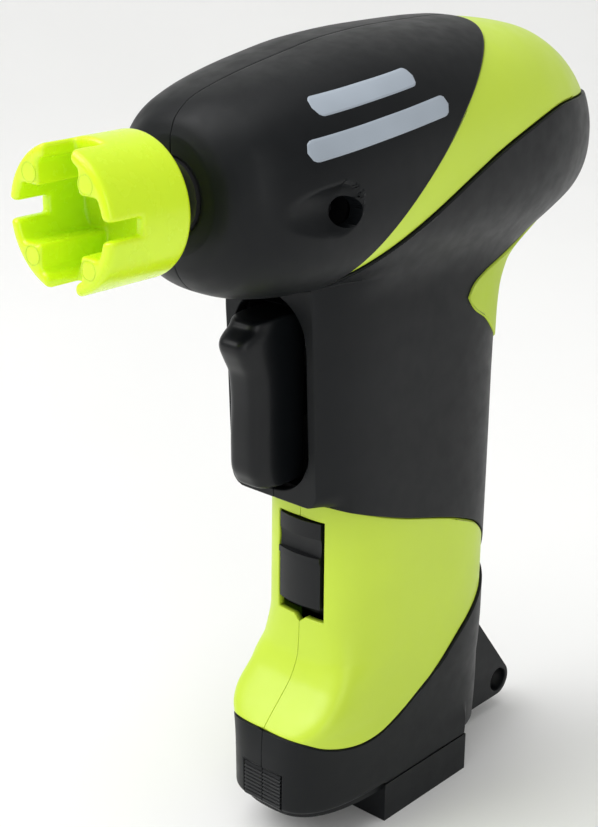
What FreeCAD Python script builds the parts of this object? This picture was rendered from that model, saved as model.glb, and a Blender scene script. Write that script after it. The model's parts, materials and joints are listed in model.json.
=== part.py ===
import FreeCAD, Part
import math
import os

# Battery-powered string winder, in millimetres.
# The tool stands upright on the flat foot under its handle. The origin is the centre of
# that foot, +Z is up, the winding cup points to -Y and the tool is symmetric about X = 0.
# Most of the inside is a spur gear train between the motor and the cup's spindle.

V = FreeCAD.Vector
X, Y, Z = V(1, 0, 0), V(0, 1, 0), V(0, 0, 1)

# ---- driving dimensions ----
SPINDLE_Z = 170.0        # height of the cup's axis above the foot
WALL = 2.4               # thickness of the moulded shells
LIME_STEP = 0.7          # how far the green panels lie below the black ones
SEAM = 0.3               # gap between neighbouring shell pieces
CUP_FRONT = -103.0
CUP_REAR = -81.3
CUP_R = 15.2
CUP_WALL = 2.7
CUP_FLOOR = 4.0
ARM_HALF = 5.9           # half width of the cross-shaped socket in the cup
SLOT_DEPTH = 8.4
NOSE_FACE = -72.7
SPINDLE_R = 3.0
RUN = 0.06               # radial running clearance of a shaft in its bore
FOOT_HALF = 17.2         # half width of the square foot
FOOT_H = 8.8
DOOR_PLATE = 1.9         # thickness of the battery door's plate, on top of the foot
BASE_Z = 11.0            # lower edge of the handle's base
BEZEL_BOTTOM = 93.0      # lower edge of the trigger's frame
SLOT_HALF = 11.0         # half width of the trigger's slot
SLOT_LOW, SLOT_HIGH = 95.4, 143.4
TRIGGER_HALF = 5.2
TRIGGER_TRAVEL = 4.5
WINDOW_HALF = 7.3        # half width of the direction slider's window
WINDOW_LOW, WINDOW_HIGH = 58.6, 85.1
SLIDER_TRAVEL = 3.2
LUG_HALF = 5.0           # half thickness of the lanyard lug
LUG_HOLE_R, LUG_TIP_R = 3.45, 5.0
LUG_Y, LUG_Z = 49.3, 9.4
CELL_R, CELL_L = 7.25, 50.5   # AA cell
CELL_PITCH = 14.9
CELL_MID_Y = -1.2
CELL_LOW = 11.3
TAB_HALF, TAB_LOW, TAB_HIGH = 6.0, 11.4, 21.3
HOOK_X = 6.5             # the door's hooks run in slots at either side
CONTACT_Z, CONTACT_REACH = 10.2, 15.2

# Teeth and modules of the gear train, from the motor to the spindle.
M_FINE, M_LAST = 0.5, 0.7
T_MOTOR, T_A_BIG, T_A_SMALL = 10, 36, 10
T_B_BIG, T_B_SMALL, T_OUT = 32, 12, 30
MOTOR_X, MOTOR_Z = 0.0, 172.0
MOTOR_R, MOTOR_FRONT, MOTOR_REAR = 11.9, -21.1, 9.4
PLANE_OUT = (-38.4, -33.2)      # where each pair of gears lies along Y
PLANE_MID = (-32.4, -28.4)
PLANE_IN = (-27.8, -24.4)

# Head: y, top and bottom above the spindle, half width, roundness exponent.
HEAD = [
    (-72.7, 12.5, -12.5, 12.5, 2.0),
    (-71.5, 15.7, -16.3, 16.0, 2.05),
    (-69.5, 17.8, -19.2, 18.8, 2.15),
    (-66.8, 19.5, -21.4, 21.4, 2.3),
    (-60.7, 21.5, -23.6, 24.4, 2.4),
    (-52.0, 23.6, -24.7, 26.6, 2.5),
    (-40.0, 25.9, -25.1, 27.8, 2.6),
    (-25.0, 28.3, -25.3, 28.4, 2.6),
    (-8.0, 29.4, -25.5, 28.5, 2.55),
    (10.0, 29.6, -25.5, 28.1, 2.5),
    (25.0, 29.0, -25.3, 27.3, 2.4),
    (38.0, 27.0, -24.9, 25.4, 2.3),
    (48.0, 23.4, -24.0, 22.4, 2.2),
    (56.0, 18.3, -22.2, 18.8, 2.15),
    (61.5, 12.2, -19.6, 14.4, 2.1),
    (65.0, 5.5, -15.5, 9.6, 2.05),
    (66.8, -2.5, -8.0, 3.0, 2.0),
]

# Upper handle: z, front, rear, half width, front exponent, rear exponent.
GRIP = [
    (50.0, -45.0, 30.4, 17.8, 3.6, 3.5),
    (90.0, -45.4, 30.6, 17.8, 3.6, 3.5),
    (110.0, -46.6, 30.6, 17.8, 3.6, 3.5),
    (126.0, -47.2, 30.8, 17.9, 3.6, 3.5),
    (133.0, -47.5, 31.8, 17.9, 3.6, 3.4),
    (139.0, -48.0, 35.0, 17.9, 3.6, 3.2),
    (145.0, -48.0, 42.0, 17.9, 3.6, 2.9),
    (152.0, -48.0, 49.0, 17.9, 3.6, 2.7),
    (160.0, -48.0, 53.0, 17.9, 3.6, 2.6),
]

# Lower handle and its flared base, in the same columns.
BASE = [
    (BASE_Z, -45.2, 29.6, 17.4, 3.4, 3.6),
    (25.0, -45.3, 30.4, 17.4, 3.5, 3.6),
    (31.5, -44.9, 30.4, 17.6, 3.9, 3.5),
    (34.5, -42.6, 30.4, 17.8, 5.4, 3.5),
    (38.0, -39.3, 30.4, 17.9, 6.8, 3.5),
    (43.0, -35.1, 30.4, 17.9, 6.8, 3.5),
    (49.0, -32.8, 30.4, 17.8, 4.6, 3.5),
    (58.0, -32.4, 30.4, 17.8, 3.5, 3.5),
    (98.0, -32.4, 30.4, 17.8, 3.4, 3.5),
]

# Parting lines of the shells, seen from the side as y, z.
CAP_FRONT = [(30, 203), (16.6, 198.4), (5.8, 193.3), (-7.7, 183.7), (-18.8, 172.9),
             (-31.7, 161.0), (-43.3, 149.2)]
CAP_REAR = [(74, 178.3), (50, 179.4), (32, 179.4), (16.6, 175.9), (-1.6, 169.6),
            (-18.5, 161.4), (-33.5, 153.4), (-43.3, 148.2)]
PANEL_TOP = [(-38.4, 93.1), (-33.5, 91.2), (-22.6, 87.1), (-12.3, 83.5), (1.5, 79.3),
             (10.2, 76.3), (19.3, 71.8), (25.0, 66.2), (28.6, 58.6)]
PANEL_LOW = [(-50.0, 32.4), (-44.6, 32.2), (-37.4, 29.2), (-31.9, 27.6), (-25.4, 26.7),
             (-19.8, 27.1), (-12.6, 29.5), (-5.9, 32.7), (2.8, 37.5), (11.5, 43.2),
             (18.9, 47.9), (25.0, 52.6), (28.6, 56.4)]
PAD = [(8.4, 134.8), (10.4, 137.6), (14.7, 139.8), (22.5, 142.0), (34.0, 144.9), (52.0, 149.4),
       (52.0, 112.0), (31.0, 117.5), (23.0, 122.9), (17.4, 127.6), (11.0, 131.7)]

os.makedirs("parts", exist_ok=True)


# ---- shape helpers ----
def box(x0, x1, y0, y1, z0, z1):
    """A block between two corners."""
    return Part.makeBox(x1 - x0, y1 - y0, z1 - z0, V(x0, y0, z0))


def rod(radius, y0, y1, x=0.0, z=SPINDLE_Z):
    """A round bar along Y."""
    return Part.makeCylinder(radius, y1 - y0, V(x, y0, z), Y)


def cross_rod(radius, x0, x1, y, z):
    """A round bar along X."""
    return Part.makeCylinder(radius, x1 - x0, V(x0, y, z), X)


def upright(radius, z0, z1, x, y):
    """A round bar along Z."""
    return Part.makeCylinder(radius, z1 - z0, V(x, y, z0), Z)


def fuse_all(shapes):
    """One solid from overlapping solids."""
    return shapes[0].multiFuse(shapes[1:]).removeSplitter() if len(shapes) > 1 else shapes[0]


def cut_all(shape, tools):
    """Take each tool out of a shape."""
    for tool in tools:
        shape = shape.cut(tool)
    return shape


def mirror(shape):
    """The same shape on the other side of X = 0."""
    return shape.mirror(V(0, 0, 0), X)


def group(shapes):
    """Separate solids kept in one node."""
    return Part.makeCompound(shapes)


def oval(mid, half_u, half_v, n_plus, n_minus, count=32):
    """Points of a superellipse: u may have its own exponent on each side of mid."""
    points = []
    for k in range(count):
        angle = 2 * math.pi * k / count
        cos, sin = math.cos(angle), math.sin(angle)
        n = n_plus if cos > 0 else n_minus
        u = mid + half_u * math.copysign(abs(cos) ** (2 / n), cos)
        v = half_v * math.copysign(abs(sin) ** (2 / n), sin)
        points.append((u, v))
    return points


def ring(points):
    """A closed smooth wire, with the same parameters whatever its size."""
    curve = Part.BSplineCurve()
    steps = [k / len(points) for k in range(len(points) + 1)]
    curve.interpolate(Points=points, PeriodicFlag=True, Parameters=steps)
    return Part.Wire([curve.toShape()])


def monotone(xs, ys):
    """A smooth function through points that never overshoots them."""
    gaps = [b - a for a, b in zip(xs, xs[1:])]
    rises = [(b - a) / gap for a, b, gap in zip(ys, ys[1:], gaps)]
    slopes = [rises[0]] + [0.0] * (len(xs) - 2) + [rises[-1]]
    for i in range(1, len(xs) - 1):
        if rises[i - 1] * rises[i] > 0:
            near, far = 2 * gaps[i] + gaps[i - 1], gaps[i] + 2 * gaps[i - 1]
            slopes[i] = (near + far) / (near / rises[i - 1] + far / rises[i])

    def value(x):
        i = max(k for k in range(len(gaps)) if k == 0 or xs[k] <= x)
        t = (x - xs[i]) / gaps[i]
        return ((2 * t ** 3 - 3 * t ** 2 + 1) * ys[i] + (3 * t ** 2 - 2 * t ** 3) * ys[i + 1]
                + gaps[i] * ((t ** 3 - 2 * t ** 2 + t) * slopes[i] + (t ** 3 - t ** 2) * slopes[i + 1]))

    return value


def sections(stations, places):
    """The columns of a station table, read off at other places."""
    columns = list(zip(*stations))
    curves = [monotone(columns[0], column) for column in columns[1:]]
    return [(place,) + tuple(curve(place) for curve in curves) for place in places]


def head(inset=0.0, count=28):
    """The head as a solid, moved in by inset on every side; its sections crowd at its ends."""
    front, rear = HEAD[0][0], HEAD[-1][0]
    middle, reach = (front + rear) / 2, (rear - front) / 2
    shrink = 1 - inset / reach
    places = [middle - reach * math.cos(math.pi * k / count) for k in range(count + 1)]
    rings = []
    for y, top, low, half, n in sections(HEAD, places):
        mid, tall = SPINDLE_Z + (top + low) / 2, (top - low) / 2
        if min(tall, half) - inset < 1.8:
            continue
        y = middle + (y - middle) * shrink
        outline = oval(mid, tall - inset, half - inset, n, n)
        rings.append(ring([V(v, y, u) for u, v in outline]))
    return Part.makeLoft(rings, True, False)


def handle(stations, inset=0.0, count=24):
    """An upright solid through evenly spaced ovals, moved in by inset at the sides."""
    low, high = stations[0][0], stations[-1][0]
    places = [low + (high - low) * k / count for k in range(count + 1)]
    rings = []
    for z, front, rear, half, n_front, n_rear in sections(stations, places):
        outline = oval((front + rear) / 2, (rear - front) / 2 - inset, half - inset,
                       n_rear, n_front)
        rings.append(ring([V(v, u, z) for u, v in outline]))
    return Part.makeLoft(rings, True, False)


def bezel_cut(inset=0.0):
    """What lies in front of the sloping face that frames the trigger."""
    low, high = (45.0, -39.0), (165.0, -44.4)
    outline = [V(0, low[1] + inset, low[0]), V(0, high[1] + inset, high[0]),
               V(0, -80, high[0]), V(0, -80, low[0])]
    return sideways(Part.makePolygon(outline + outline[:1]))


def sideways(wire, half=45.0):
    """A closed side outline drawn out to both sides of X = 0."""
    wire.translate(V(-half, 0, 0))
    return Part.Face(wire).extrude(V(2 * half, 0, 0))


def spline(points):
    """A smooth edge through side-view points."""
    curve = Part.BSplineCurve()
    curve.interpolate([V(0, y, z) for y, z in points])
    return curve.toShape()


def shifted(points, distance):
    """The same line moved to its left, at right angles to itself."""
    moved = []
    for k, (y, z) in enumerate(points):
        before, after = points[max(k - 1, 0)], points[min(k + 1, len(points) - 1)]
        dy, dz = after[0] - before[0], after[1] - before[1]
        length = math.hypot(dy, dz)
        moved.append((y - dz / length * distance, z + dy / length * distance))
    return moved


def region(line, corners):
    """Everything between a parting line and the corners that close it."""
    edges = [spline(line)]
    loop = [line[-1]] + corners + [line[0]]
    for start, end in zip(loop[:-1], loop[1:]):
        edges.append(Part.LineSegment(V(0, *start), V(0, *end)).toShape())
    return sideways(Part.Wire(edges))


def half_space(side):
    """One side of the tool, short of the moulding seam by half a hair."""
    seam = 0.06
    return box(seam, 60, -120, 120, -10, 240) if side > 0 else box(-60, -seam, -120, 120, -10, 240)


def in_halves(shape):
    """The left and right halves of a shell; left is +X."""
    return shape.common(half_space(1)), shape.common(half_space(-1))


# ---- gears ----
def involute(angle):
    return math.tan(angle) - angle


def gear(module, teeth, y0, y1, x, z, phase, long_teeth):
    """A spur gear on an axis along Y; phase is where one tooth points, from +X to +Z."""
    pressure = math.radians(20)
    pitch = module * teeth / 2
    base = pitch * math.cos(pressure)
    tip = pitch + module * (0.9 if long_teeth else 0.65)
    root = pitch - module * (1.0 if long_teeth else 1.2)
    thinned = 0.05

    def half_angle(radius):
        turn = math.acos(min(1.0, base / max(radius, base)))
        return math.pi / 2 / teeth - thinned / pitch + involute(pressure) - involute(turn)

    flank = [root] + [max(base, root) + (tip - max(base, root)) * t for t in (0.02, 0.5, 1.0)]
    points = []
    for k in range(teeth):
        middle = phase + 2 * math.pi * k / teeth
        for radius, side in [(r, -1) for r in flank] + [(r, 1) for r in flank[::-1]]:
            angle = middle + side * half_angle(radius)
            points.append(V(x + radius * math.cos(angle), y0, z + radius * math.sin(angle)))
    wire = Part.makePolygon(points + points[:1])
    return Part.Face(wire).extrude(V(0, y1 - y0, 0))


def meeting_phase(teeth, driver_teeth, driver_phase, direction):
    """The phase that puts a gear in mesh with its driver, which lies at -direction."""
    used = driver_teeth * (direction - driver_phase) / (2 * math.pi)
    return direction + math.pi - (0.5 - used) * 2 * math.pi / teeth


def third_axis(a, b, from_a, from_b):
    """A point at given distances from two others, on the upper side."""
    dx, dz = b[0] - a[0], b[1] - a[1]
    gap = math.hypot(dx, dz)
    along = (gap ** 2 + from_a ** 2 - from_b ** 2) / (2 * gap)
    across = math.sqrt(from_a ** 2 - along ** 2)
    ux, uz = dx / gap, dz / gap
    return a[0] + ux * along - uz * across, a[1] + uz * along + ux * across


def direction(a, b):
    return math.atan2(b[1] - a[1], b[0] - a[0])


OUT_AXIS = (0.0, SPINDLE_Z)
MOTOR_AXIS = (MOTOR_X, MOTOR_Z)
B_AXIS = (M_LAST * (T_B_SMALL + T_OUT) / 2, SPINDLE_Z)
A_AXIS = third_axis(MOTOR_AXIS, B_AXIS, M_FINE * (T_MOTOR + T_A_BIG) / 2,
                    M_FINE * (T_A_SMALL + T_B_BIG) / 2)
PIN_R = 1.0
MOTOR_SHAFT_R = 1.0

# ---- outer solids ----
HEAD_OUT, HEAD_LIME, HEAD_IN = head(0), head(LIME_STEP), head(WALL)
GRIP_OUT = handle(GRIP).cut(bezel_cut())
GRIP_IN = handle(GRIP, WALL).cut(bezel_cut(WALL))
BASE_OUT, BASE_LIME, BASE_IN = handle(BASE), handle(BASE, LIME_STEP), handle(BASE, WALL)
LOW_RIM = [edge for edge in BASE_OUT.Edges if edge.BoundBox.ZMax < BASE_Z + 0.1]
BASE_OUT = BASE_OUT.makeFillet(1.4, LOW_RIM)


# ---- the head's shells ----
def screw_scoop(grow=0.0):
    """Finger-shaped scoop beside a screw, fading out towards the nose."""
    x, y, z = SCOOP_AT
    return rod(SCOOP_R + grow, -90, y, x, z).fuse(Part.makeSphere(SCOOP_R + grow, V(x, y, z)))


SCREW_Y, SCREW_Z = -47.2, 166.6
SCREW_HOLE_R, SCREW_BOSS_R, SCREW_FLOOR = 3.9, 5.4, 14.9
SCOOP_R, SCOOP_AT = 6.3, (30.2, -50.2, 167.6)   # radius and centre of its round end


def nose_shells():
    """Front two thirds of the head, with a bore for the spindle's bush and a screw well."""
    area = region(shifted(CAP_FRONT, -SEAM / 2), [(-43.6, 145.0), (-90, 145.0), (-90, 203)])
    skin = HEAD_OUT.cut(HEAD_IN).common(area)
    skin = skin.cut(rod(8.4, -80, -60))
    skin = skin.cut(GRIP_OUT.common(box(-40, 40, -60, 60, 130, 145.1)))
    boss = cross_rod(SCREW_BOSS_R, SCREW_FLOOR, 40, SCREW_Y, SCREW_Z)
    lining = screw_scoop(1.8).cut(box(-40, 40, -100, -68, 140, 200))
    solid = boss.fuse(lining).common(HEAD_OUT)
    well = cross_rod(SCREW_HOLE_R, SCREW_FLOOR + 2.0, 40, SCREW_Y, SCREW_Z)
    pilot = cross_rod(1.6, 5, 40, SCREW_Y, SCREW_Z)
    left = skin.common(half_space(1)).fuse(solid)
    left = cut_all(left, [screw_scoop(), well, pilot]).removeSplitter()
    return left, mirror(left)


def rear_cap():
    """Green band that wraps over the back of the head and runs down to a point."""
    lower = shifted(CAP_REAR, -SEAM / 2)
    front = shifted(CAP_FRONT, SEAM / 2)
    edges = [spline(lower), spline(front)]
    corners = [(lower[0], (74, 203)), ((74, 203), front[0]), (front[-1], lower[-1])]
    for start, end in corners:
        edges.append(Part.LineSegment(V(0, *start), V(0, *end)).toShape())
    area = sideways(Part.Wire(Part.sortEdges(edges)[0]))
    return HEAD_LIME.cut(HEAD_IN).common(area)


def pad_area(grow):
    """Side outline of the soft pad behind the neck."""
    line = PAD[6:] + PAD[:6]
    return region(shifted(line, grow), [])


def grip_shells():
    """Black upper handle, its trigger frame and the saddle under the green band."""
    line = shifted(CAP_REAR, SEAM / 2)
    top = region(line, [(-43.3, 144.7), (-90, 144.7), (-90, 0), (74, 0)])
    low_line = shifted(PANEL_TOP, SEAM / 2)
    keep = region(low_line, [(28.6, 57.6), (90, 57.6), (90, 230), (-90, 230), (-90, BEZEL_BOTTOM),
                             (-38.4, BEZEL_BOTTOM)])
    outer = HEAD_OUT.fuse(GRIP_OUT)
    inner = HEAD_IN.fuse(GRIP_IN)
    skin = outer.cut(inner).common(top).common(keep)
    sill = GRIP_OUT.common(box(-30, 30, -60, -29.0, BEZEL_BOTTOM, BEZEL_BOTTOM + 2.2))
    lid = GRIP_OUT.common(box(-30, 30, -60, -36.0, 143.6, 144.7))
    skin = skin.fuse(sill).fuse(lid)
    slot = box(-SLOT_HALF, SLOT_HALF, -60, -36.0, SLOT_LOW + SLOT_HALF, SLOT_HIGH - SLOT_HALF)
    for z in (SLOT_LOW + SLOT_HALF, SLOT_HIGH - SLOT_HALF):
        slot = slot.fuse(rod(SLOT_HALF, -60, -36.0, 0, z))
    pocket = GRIP_OUT.fuse(HEAD_OUT).cut(handle(GRIP, 1.3).fuse(head(1.3)))
    skin = cut_all(skin, [slot, pocket.common(pad_area(0.2))])
    return in_halves(skin)


def neck_pad():
    """Soft green pad that the web of the thumb rests on."""
    outer = HEAD_OUT.fuse(GRIP_OUT)
    inner = handle(GRIP, 1.2).fuse(head(1.2))
    return outer.cut(inner).common(pad_area(0.0))


def panel_shells():
    """Green lower handle with the window of the direction slider."""
    top = shifted(PANEL_TOP, -SEAM / 2)
    low = shifted(PANEL_LOW, SEAM / 2)
    edges = [spline(top), spline(low)]
    corners = [(low[-1], top[-1]), (top[0], (-38.4, BEZEL_BOTTOM - SEAM)),
               ((-38.4, BEZEL_BOTTOM - SEAM), (-60, BEZEL_BOTTOM - SEAM)),
               ((-60, BEZEL_BOTTOM - SEAM), low[0])]
    for start, end in corners:
        edges.append(Part.LineSegment(V(0, *start), V(0, *end)).toShape())
    area = sideways(Part.Wire(Part.sortEdges(edges)[0]))
    skin = BASE_LIME.cut(BASE_IN).common(area)
    window = box(-WINDOW_HALF, WINDOW_HALF, -50, -20, WINDOW_LOW, WINDOW_HIGH)
    notch = box(-1.1, 1.1, -50, -20, -1.1, 1.1)
    notch.rotate(V(0, 0, 0), Y, 45)
    notch.translate(V(0, 0, WINDOW_LOW))
    return in_halves(skin.cut(window).cut(notch))


def lug():
    """Triangular fin for a lanyard, behind the base."""
    reach = LUG_TIP_R
    tip = (LUG_Y, LUG_Z)
    lean = math.atan2(1.29, 1.0)
    upper = (tip[0] + reach * math.sin(lean), tip[1] + reach * math.cos(lean))
    wall_y = 27.5
    start = (wall_y, upper[1] + (upper[0] - wall_y) * math.tan(lean))
    lower = (tip[0], tip[1] - reach)
    nose = (tip[0] + reach * math.cos(0.25), tip[1] - reach * math.sin(0.25))
    path = [Part.LineSegment(V(0, *start), V(0, *upper)),
            Part.Arc(V(0, *upper), V(0, *nose), V(0, *lower)),
            Part.LineSegment(V(0, *lower), V(0, wall_y, lower[1])),
            Part.LineSegment(V(0, wall_y, lower[1]), V(0, *start))]
    fin = sideways(Part.Wire([edge.toShape() for edge in path]), LUG_HALF)
    fin = fin.cut(box(-20, 20, 20, 31, 0, BASE_Z))
    return fin.cut(cross_rod(LUG_HOLE_R, -10, 10, LUG_Y, LUG_Z))


def base_shells():
    """Black base with the battery opening, the latch's window and the lanyard lug."""
    line = shifted(PANEL_LOW, -SEAM / 2)
    area = region(line, [(28.6, 57.3), (60, 57.3), (60, 0), (-60, 0)])
    skin = BASE_OUT.cut(BASE_IN)
    floor = BASE_OUT.common(box(-30, 30, -60, 60, BASE_Z, BASE_Z + 1.6))
    cheeks = handle(BASE).common(box(-30, 30, -FOOT_HALF, FOOT_HALF, BASE_Z, BASE_Z + 2.0))
    skin = skin.fuse(floor).fuse(cheeks.cut(BASE_IN)).common(area)
    skin = skin.fuse(lug().cut(BASE_IN))
    bay = box(-14.9, 14.9, CELL_MID_Y - 15.1, CELL_MID_Y + 15.1, 0, BASE_Z + 2.0)
    window = box(-TAB_HALF - 0.35, TAB_HALF + 0.35, -60, -40.0, 0, TAB_HIGH + 0.15)
    tracks = [box(x - 1.5, x + 1.5, -38.0, -19.0, 0, BASE_Z + 3) for x in (-HOOK_X, HOOK_X)]
    return in_halves(cut_all(skin, [bay, window] + tracks))


def latch_tab():
    """Ribbed thumb tab in the front of the base, on a thin blade that bends inwards."""
    face_y, valley_y, back_y, blade_y = -45.1, -44.7, -42.6, -41.2
    ribs, blade_half = 8, 3.5
    pitch = (TAB_HIGH - TAB_LOW - 1.6) / ribs
    outline = [(back_y, TAB_LOW), (face_y + 0.5, TAB_LOW), (face_y, TAB_LOW + 0.6)]
    for k in range(ribs):
        z = TAB_LOW + 0.8 + k * pitch
        outline += [(face_y, z + 0.2 * pitch), (valley_y, z + 0.45 * pitch),
                    (valley_y, z + 0.7 * pitch), (face_y, z + pitch)]
    outline += [(valley_y, TAB_HIGH - 0.2), (valley_y + 0.3, TAB_HIGH), (back_y, TAB_HIGH)]
    corners = [V(0, y, z) for y, z in outline]
    tab = sideways(Part.makePolygon(corners + corners[:1]), TAB_HALF)
    root = box(-blade_half, blade_half, back_y - 0.5, blade_y, TAB_LOW + 1.8, TAB_HIGH - 1.0)
    blade = box(-blade_half, blade_half, blade_y - 0.9, blade_y, TAB_HIGH - 2.0, TAB_HIGH + 6)
    groove = box(-0.12, 0.12, -50, valley_y + 0.3, 0, 40)
    return fuse_all([tab, root, blade]).cut(groove)


def battery_door():
    """Sliding door under the base; its hollow foot is what the tool stands on."""
    low, high = FOOT_H, FOOT_H + DOOR_PLATE
    plate = handle([(low, -42.6, 26.6, 15.9, 3.0, 3.6), (high, -43.0, 27.0, 16.1, 3.0, 3.6)], 0, 1)
    foot = box(-FOOT_HALF, FOOT_HALF, -FOOT_HALF, FOOT_HALF, 0, high)
    door = plate.fuse(foot)
    half, floor_z = 6.6, 2.2
    for x in (-CELL_PITCH / 2, CELL_PITCH / 2):
        for y in (-half - 1, half + 1):
            door = door.cut(box(x - half, x + half, y - half, y + half, floor_z, high + 1))
        door = door.cut(box(x - 5.7, x + 5.7, -CONTACT_REACH - 0.1, CONTACT_REACH + 0.1,
                            CONTACT_Z, high + 1))
    hooks = []
    for x in (-HOOK_X, HOOK_X):
        hooks.append(box(x - 1.1, x + 1.1, -23.0, -19.4, high - 1, BASE_Z + 2.0))
        hooks.append(box(x - 2.3, x + 2.3, -23.0, -19.4, BASE_Z + 2.0, BASE_Z + 3.2))
    return fuse_all([door] + hooks)


# ---- winding end ----
def winder_cup():
    """Slotted cup with a cross-shaped socket that takes a tuning peg."""
    cup = rod(CUP_R, CUP_FRONT, CUP_REAR)
    rims = [edge for edge in cup.Edges if abs(edge.BoundBox.YMin - CUP_FRONT) < 0.01
            and abs(edge.BoundBox.YMax - CUP_FRONT) < 0.01]
    cup = cup.makeFillet(0.7, rims)
    floor_y = CUP_REAR - CUP_FLOOR
    bore = rod(CUP_R - CUP_WALL, CUP_FRONT - 1, floor_y)
    top, low = SPINDLE_Z + CUP_R, SPINDLE_Z - CUP_R
    cross = box(-ARM_HALF, ARM_HALF, CUP_FRONT - 1, floor_y, low, top)
    cross = cross.fuse(box(-CUP_R, CUP_R, CUP_FRONT - 1, floor_y,
                           SPINDLE_Z - ARM_HALF, SPINDLE_Z + ARM_HALF))
    wide_half, narrow_half = 4.0, 1.8
    slots = box(-wide_half, wide_half, CUP_FRONT - 1, CUP_FRONT + SLOT_DEPTH, low - 1, top + 1)
    slots = slots.fuse(box(-CUP_R - 1, CUP_R + 1, CUP_FRONT - 1, CUP_FRONT + SLOT_DEPTH,
                           SPINDLE_Z - narrow_half, SPINDLE_Z + narrow_half))
    cup = cut_all(cup, [bore.common(cross), slots])
    hub = rod(6.4, CUP_REAR - 0.5, -75.2)
    cup = cup.fuse(hub).cut(rod(SPINDLE_R, CUP_REAR - 2.5, -70))
    for x in (-1, 1):
        for z in (-1, 1):
            at = (x * 8.3, SPINDLE_Z + z * 8.3)
            cup = cup.cut(rod(1.9, CUP_FRONT - 1, CUP_FRONT + 0.15, *at))
    return cup.removeSplitter()


def spindle():
    """Steel output shaft, pressed into the cup and the last gear."""
    shaft = rod(SPINDLE_R, CUP_REAR - 2.5, PLANE_OUT[1])
    neck = rod(SPINDLE_R + 1, -65.6, -64.6).cut(rod(SPINDLE_R - 0.4, -66, -64))
    return shaft.cut(neck)


def front_bush():
    """Flanged bush in the nose."""
    bush = rod(8.2, -73.5, -66.4).fuse(rod(9.6, -70.0, -68.2))
    return bush.cut(rod(SPINDLE_R + RUN, -80, -60))


def retaining_clip():
    """Snap ring in the spindle's neck, behind the bush."""
    ring_shape = rod(5.2, -65.5, -64.7).cut(rod(SPINDLE_R - 0.35, -66, -64))
    return ring_shape.cut(box(-1.5, 1.5, -67, -63, SPINDLE_Z - 8, SPINDLE_Z))


# ---- gearbox ----
PLATE_FRONT = (-41.2, -39.0)
PLATE_REAR = (-23.4, MOTOR_FRONT)
PILLAR_R, PILLAR_RING = 2.0, 17.6
PILLAR_ANGLES = (120, 215, 265, 318)


def pillar_axes():
    """Where the four pillars between the gearbox plates stand."""
    turns = [math.radians(angle) for angle in PILLAR_ANGLES]
    return [(PILLAR_RING * math.cos(t), SPINDLE_Z + PILLAR_RING * math.sin(t)) for t in turns]


def gearbox_front():
    """Front plate with the spindle's inner bearing, pillars and side lugs."""
    y0, y1 = PLATE_FRONT
    shapes = [rod(20.6, y0, y1), rod(6.0, -52.0, y0)]
    shapes += [rod(PILLAR_R, y1, PLATE_REAR[0], *axis) for axis in pillar_axes()]
    for side in (-1, 1):
        x0, x1 = sorted((side * 5.0, side * (SCREW_FLOOR - 0.2)))
        shapes.append(box(x0, x1, SCREW_Y - 3.4, y0, SCREW_Z - 3.6, SCREW_Z + 3.6))
    tools = [rod(SPINDLE_R + RUN, -60, y1 + 1), rod(PIN_R, y0 - 1, y1 + 1, *A_AXIS),
             rod(PIN_R, y0 - 1, y1 + 1, *B_AXIS),
             cross_rod(1.25, -SCREW_FLOOR, -7.5, SCREW_Y, SCREW_Z),
             cross_rod(1.25, 7.5, SCREW_FLOOR, SCREW_Y, SCREW_Z)]
    tools += [rod(0.9, y0 - 1, y0 + 8, *axis) for axis in pillar_axes()]
    return cut_all(fuse_all(shapes), tools)


def gearbox_rear():
    """Rear plate that carries the motor."""
    y0, y1 = PLATE_REAR
    tools = [rod(3.1, y0 - 1, y1 + 1, *MOTOR_AXIS), rod(PIN_R, y0 - 1, y1 + 1, *A_AXIS),
             rod(PIN_R, y0 - 1, y1 + 1, *B_AXIS)]
    return cut_all(rod(20.6, y0, y1), tools)


def gearbox_screws():
    """Four small screws through the front plate into the pillars."""
    y0 = PLATE_FRONT[0]
    screws = []
    for axis in pillar_axes():
        screw = rod(0.9, y0, y0 + 7.5, *axis).fuse(rod(1.7, y0 - 1.2, y0, *axis))
        screws.append(screw.cut(box(axis[0] - 1.2, axis[0] + 1.2, y0 - 1.3, y0 - 0.7,
                                    axis[1] - 0.2, axis[1] + 0.2)))
    return group(screws)


def gear_pins():
    """Fixed steel pins that the two cluster gears turn on."""
    y0, y1 = PLATE_FRONT[0], PLATE_REAR[1]
    return group([rod(PIN_R, y0, y1, *A_AXIS), rod(PIN_R, y0, y1, *B_AXIS)])


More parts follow.
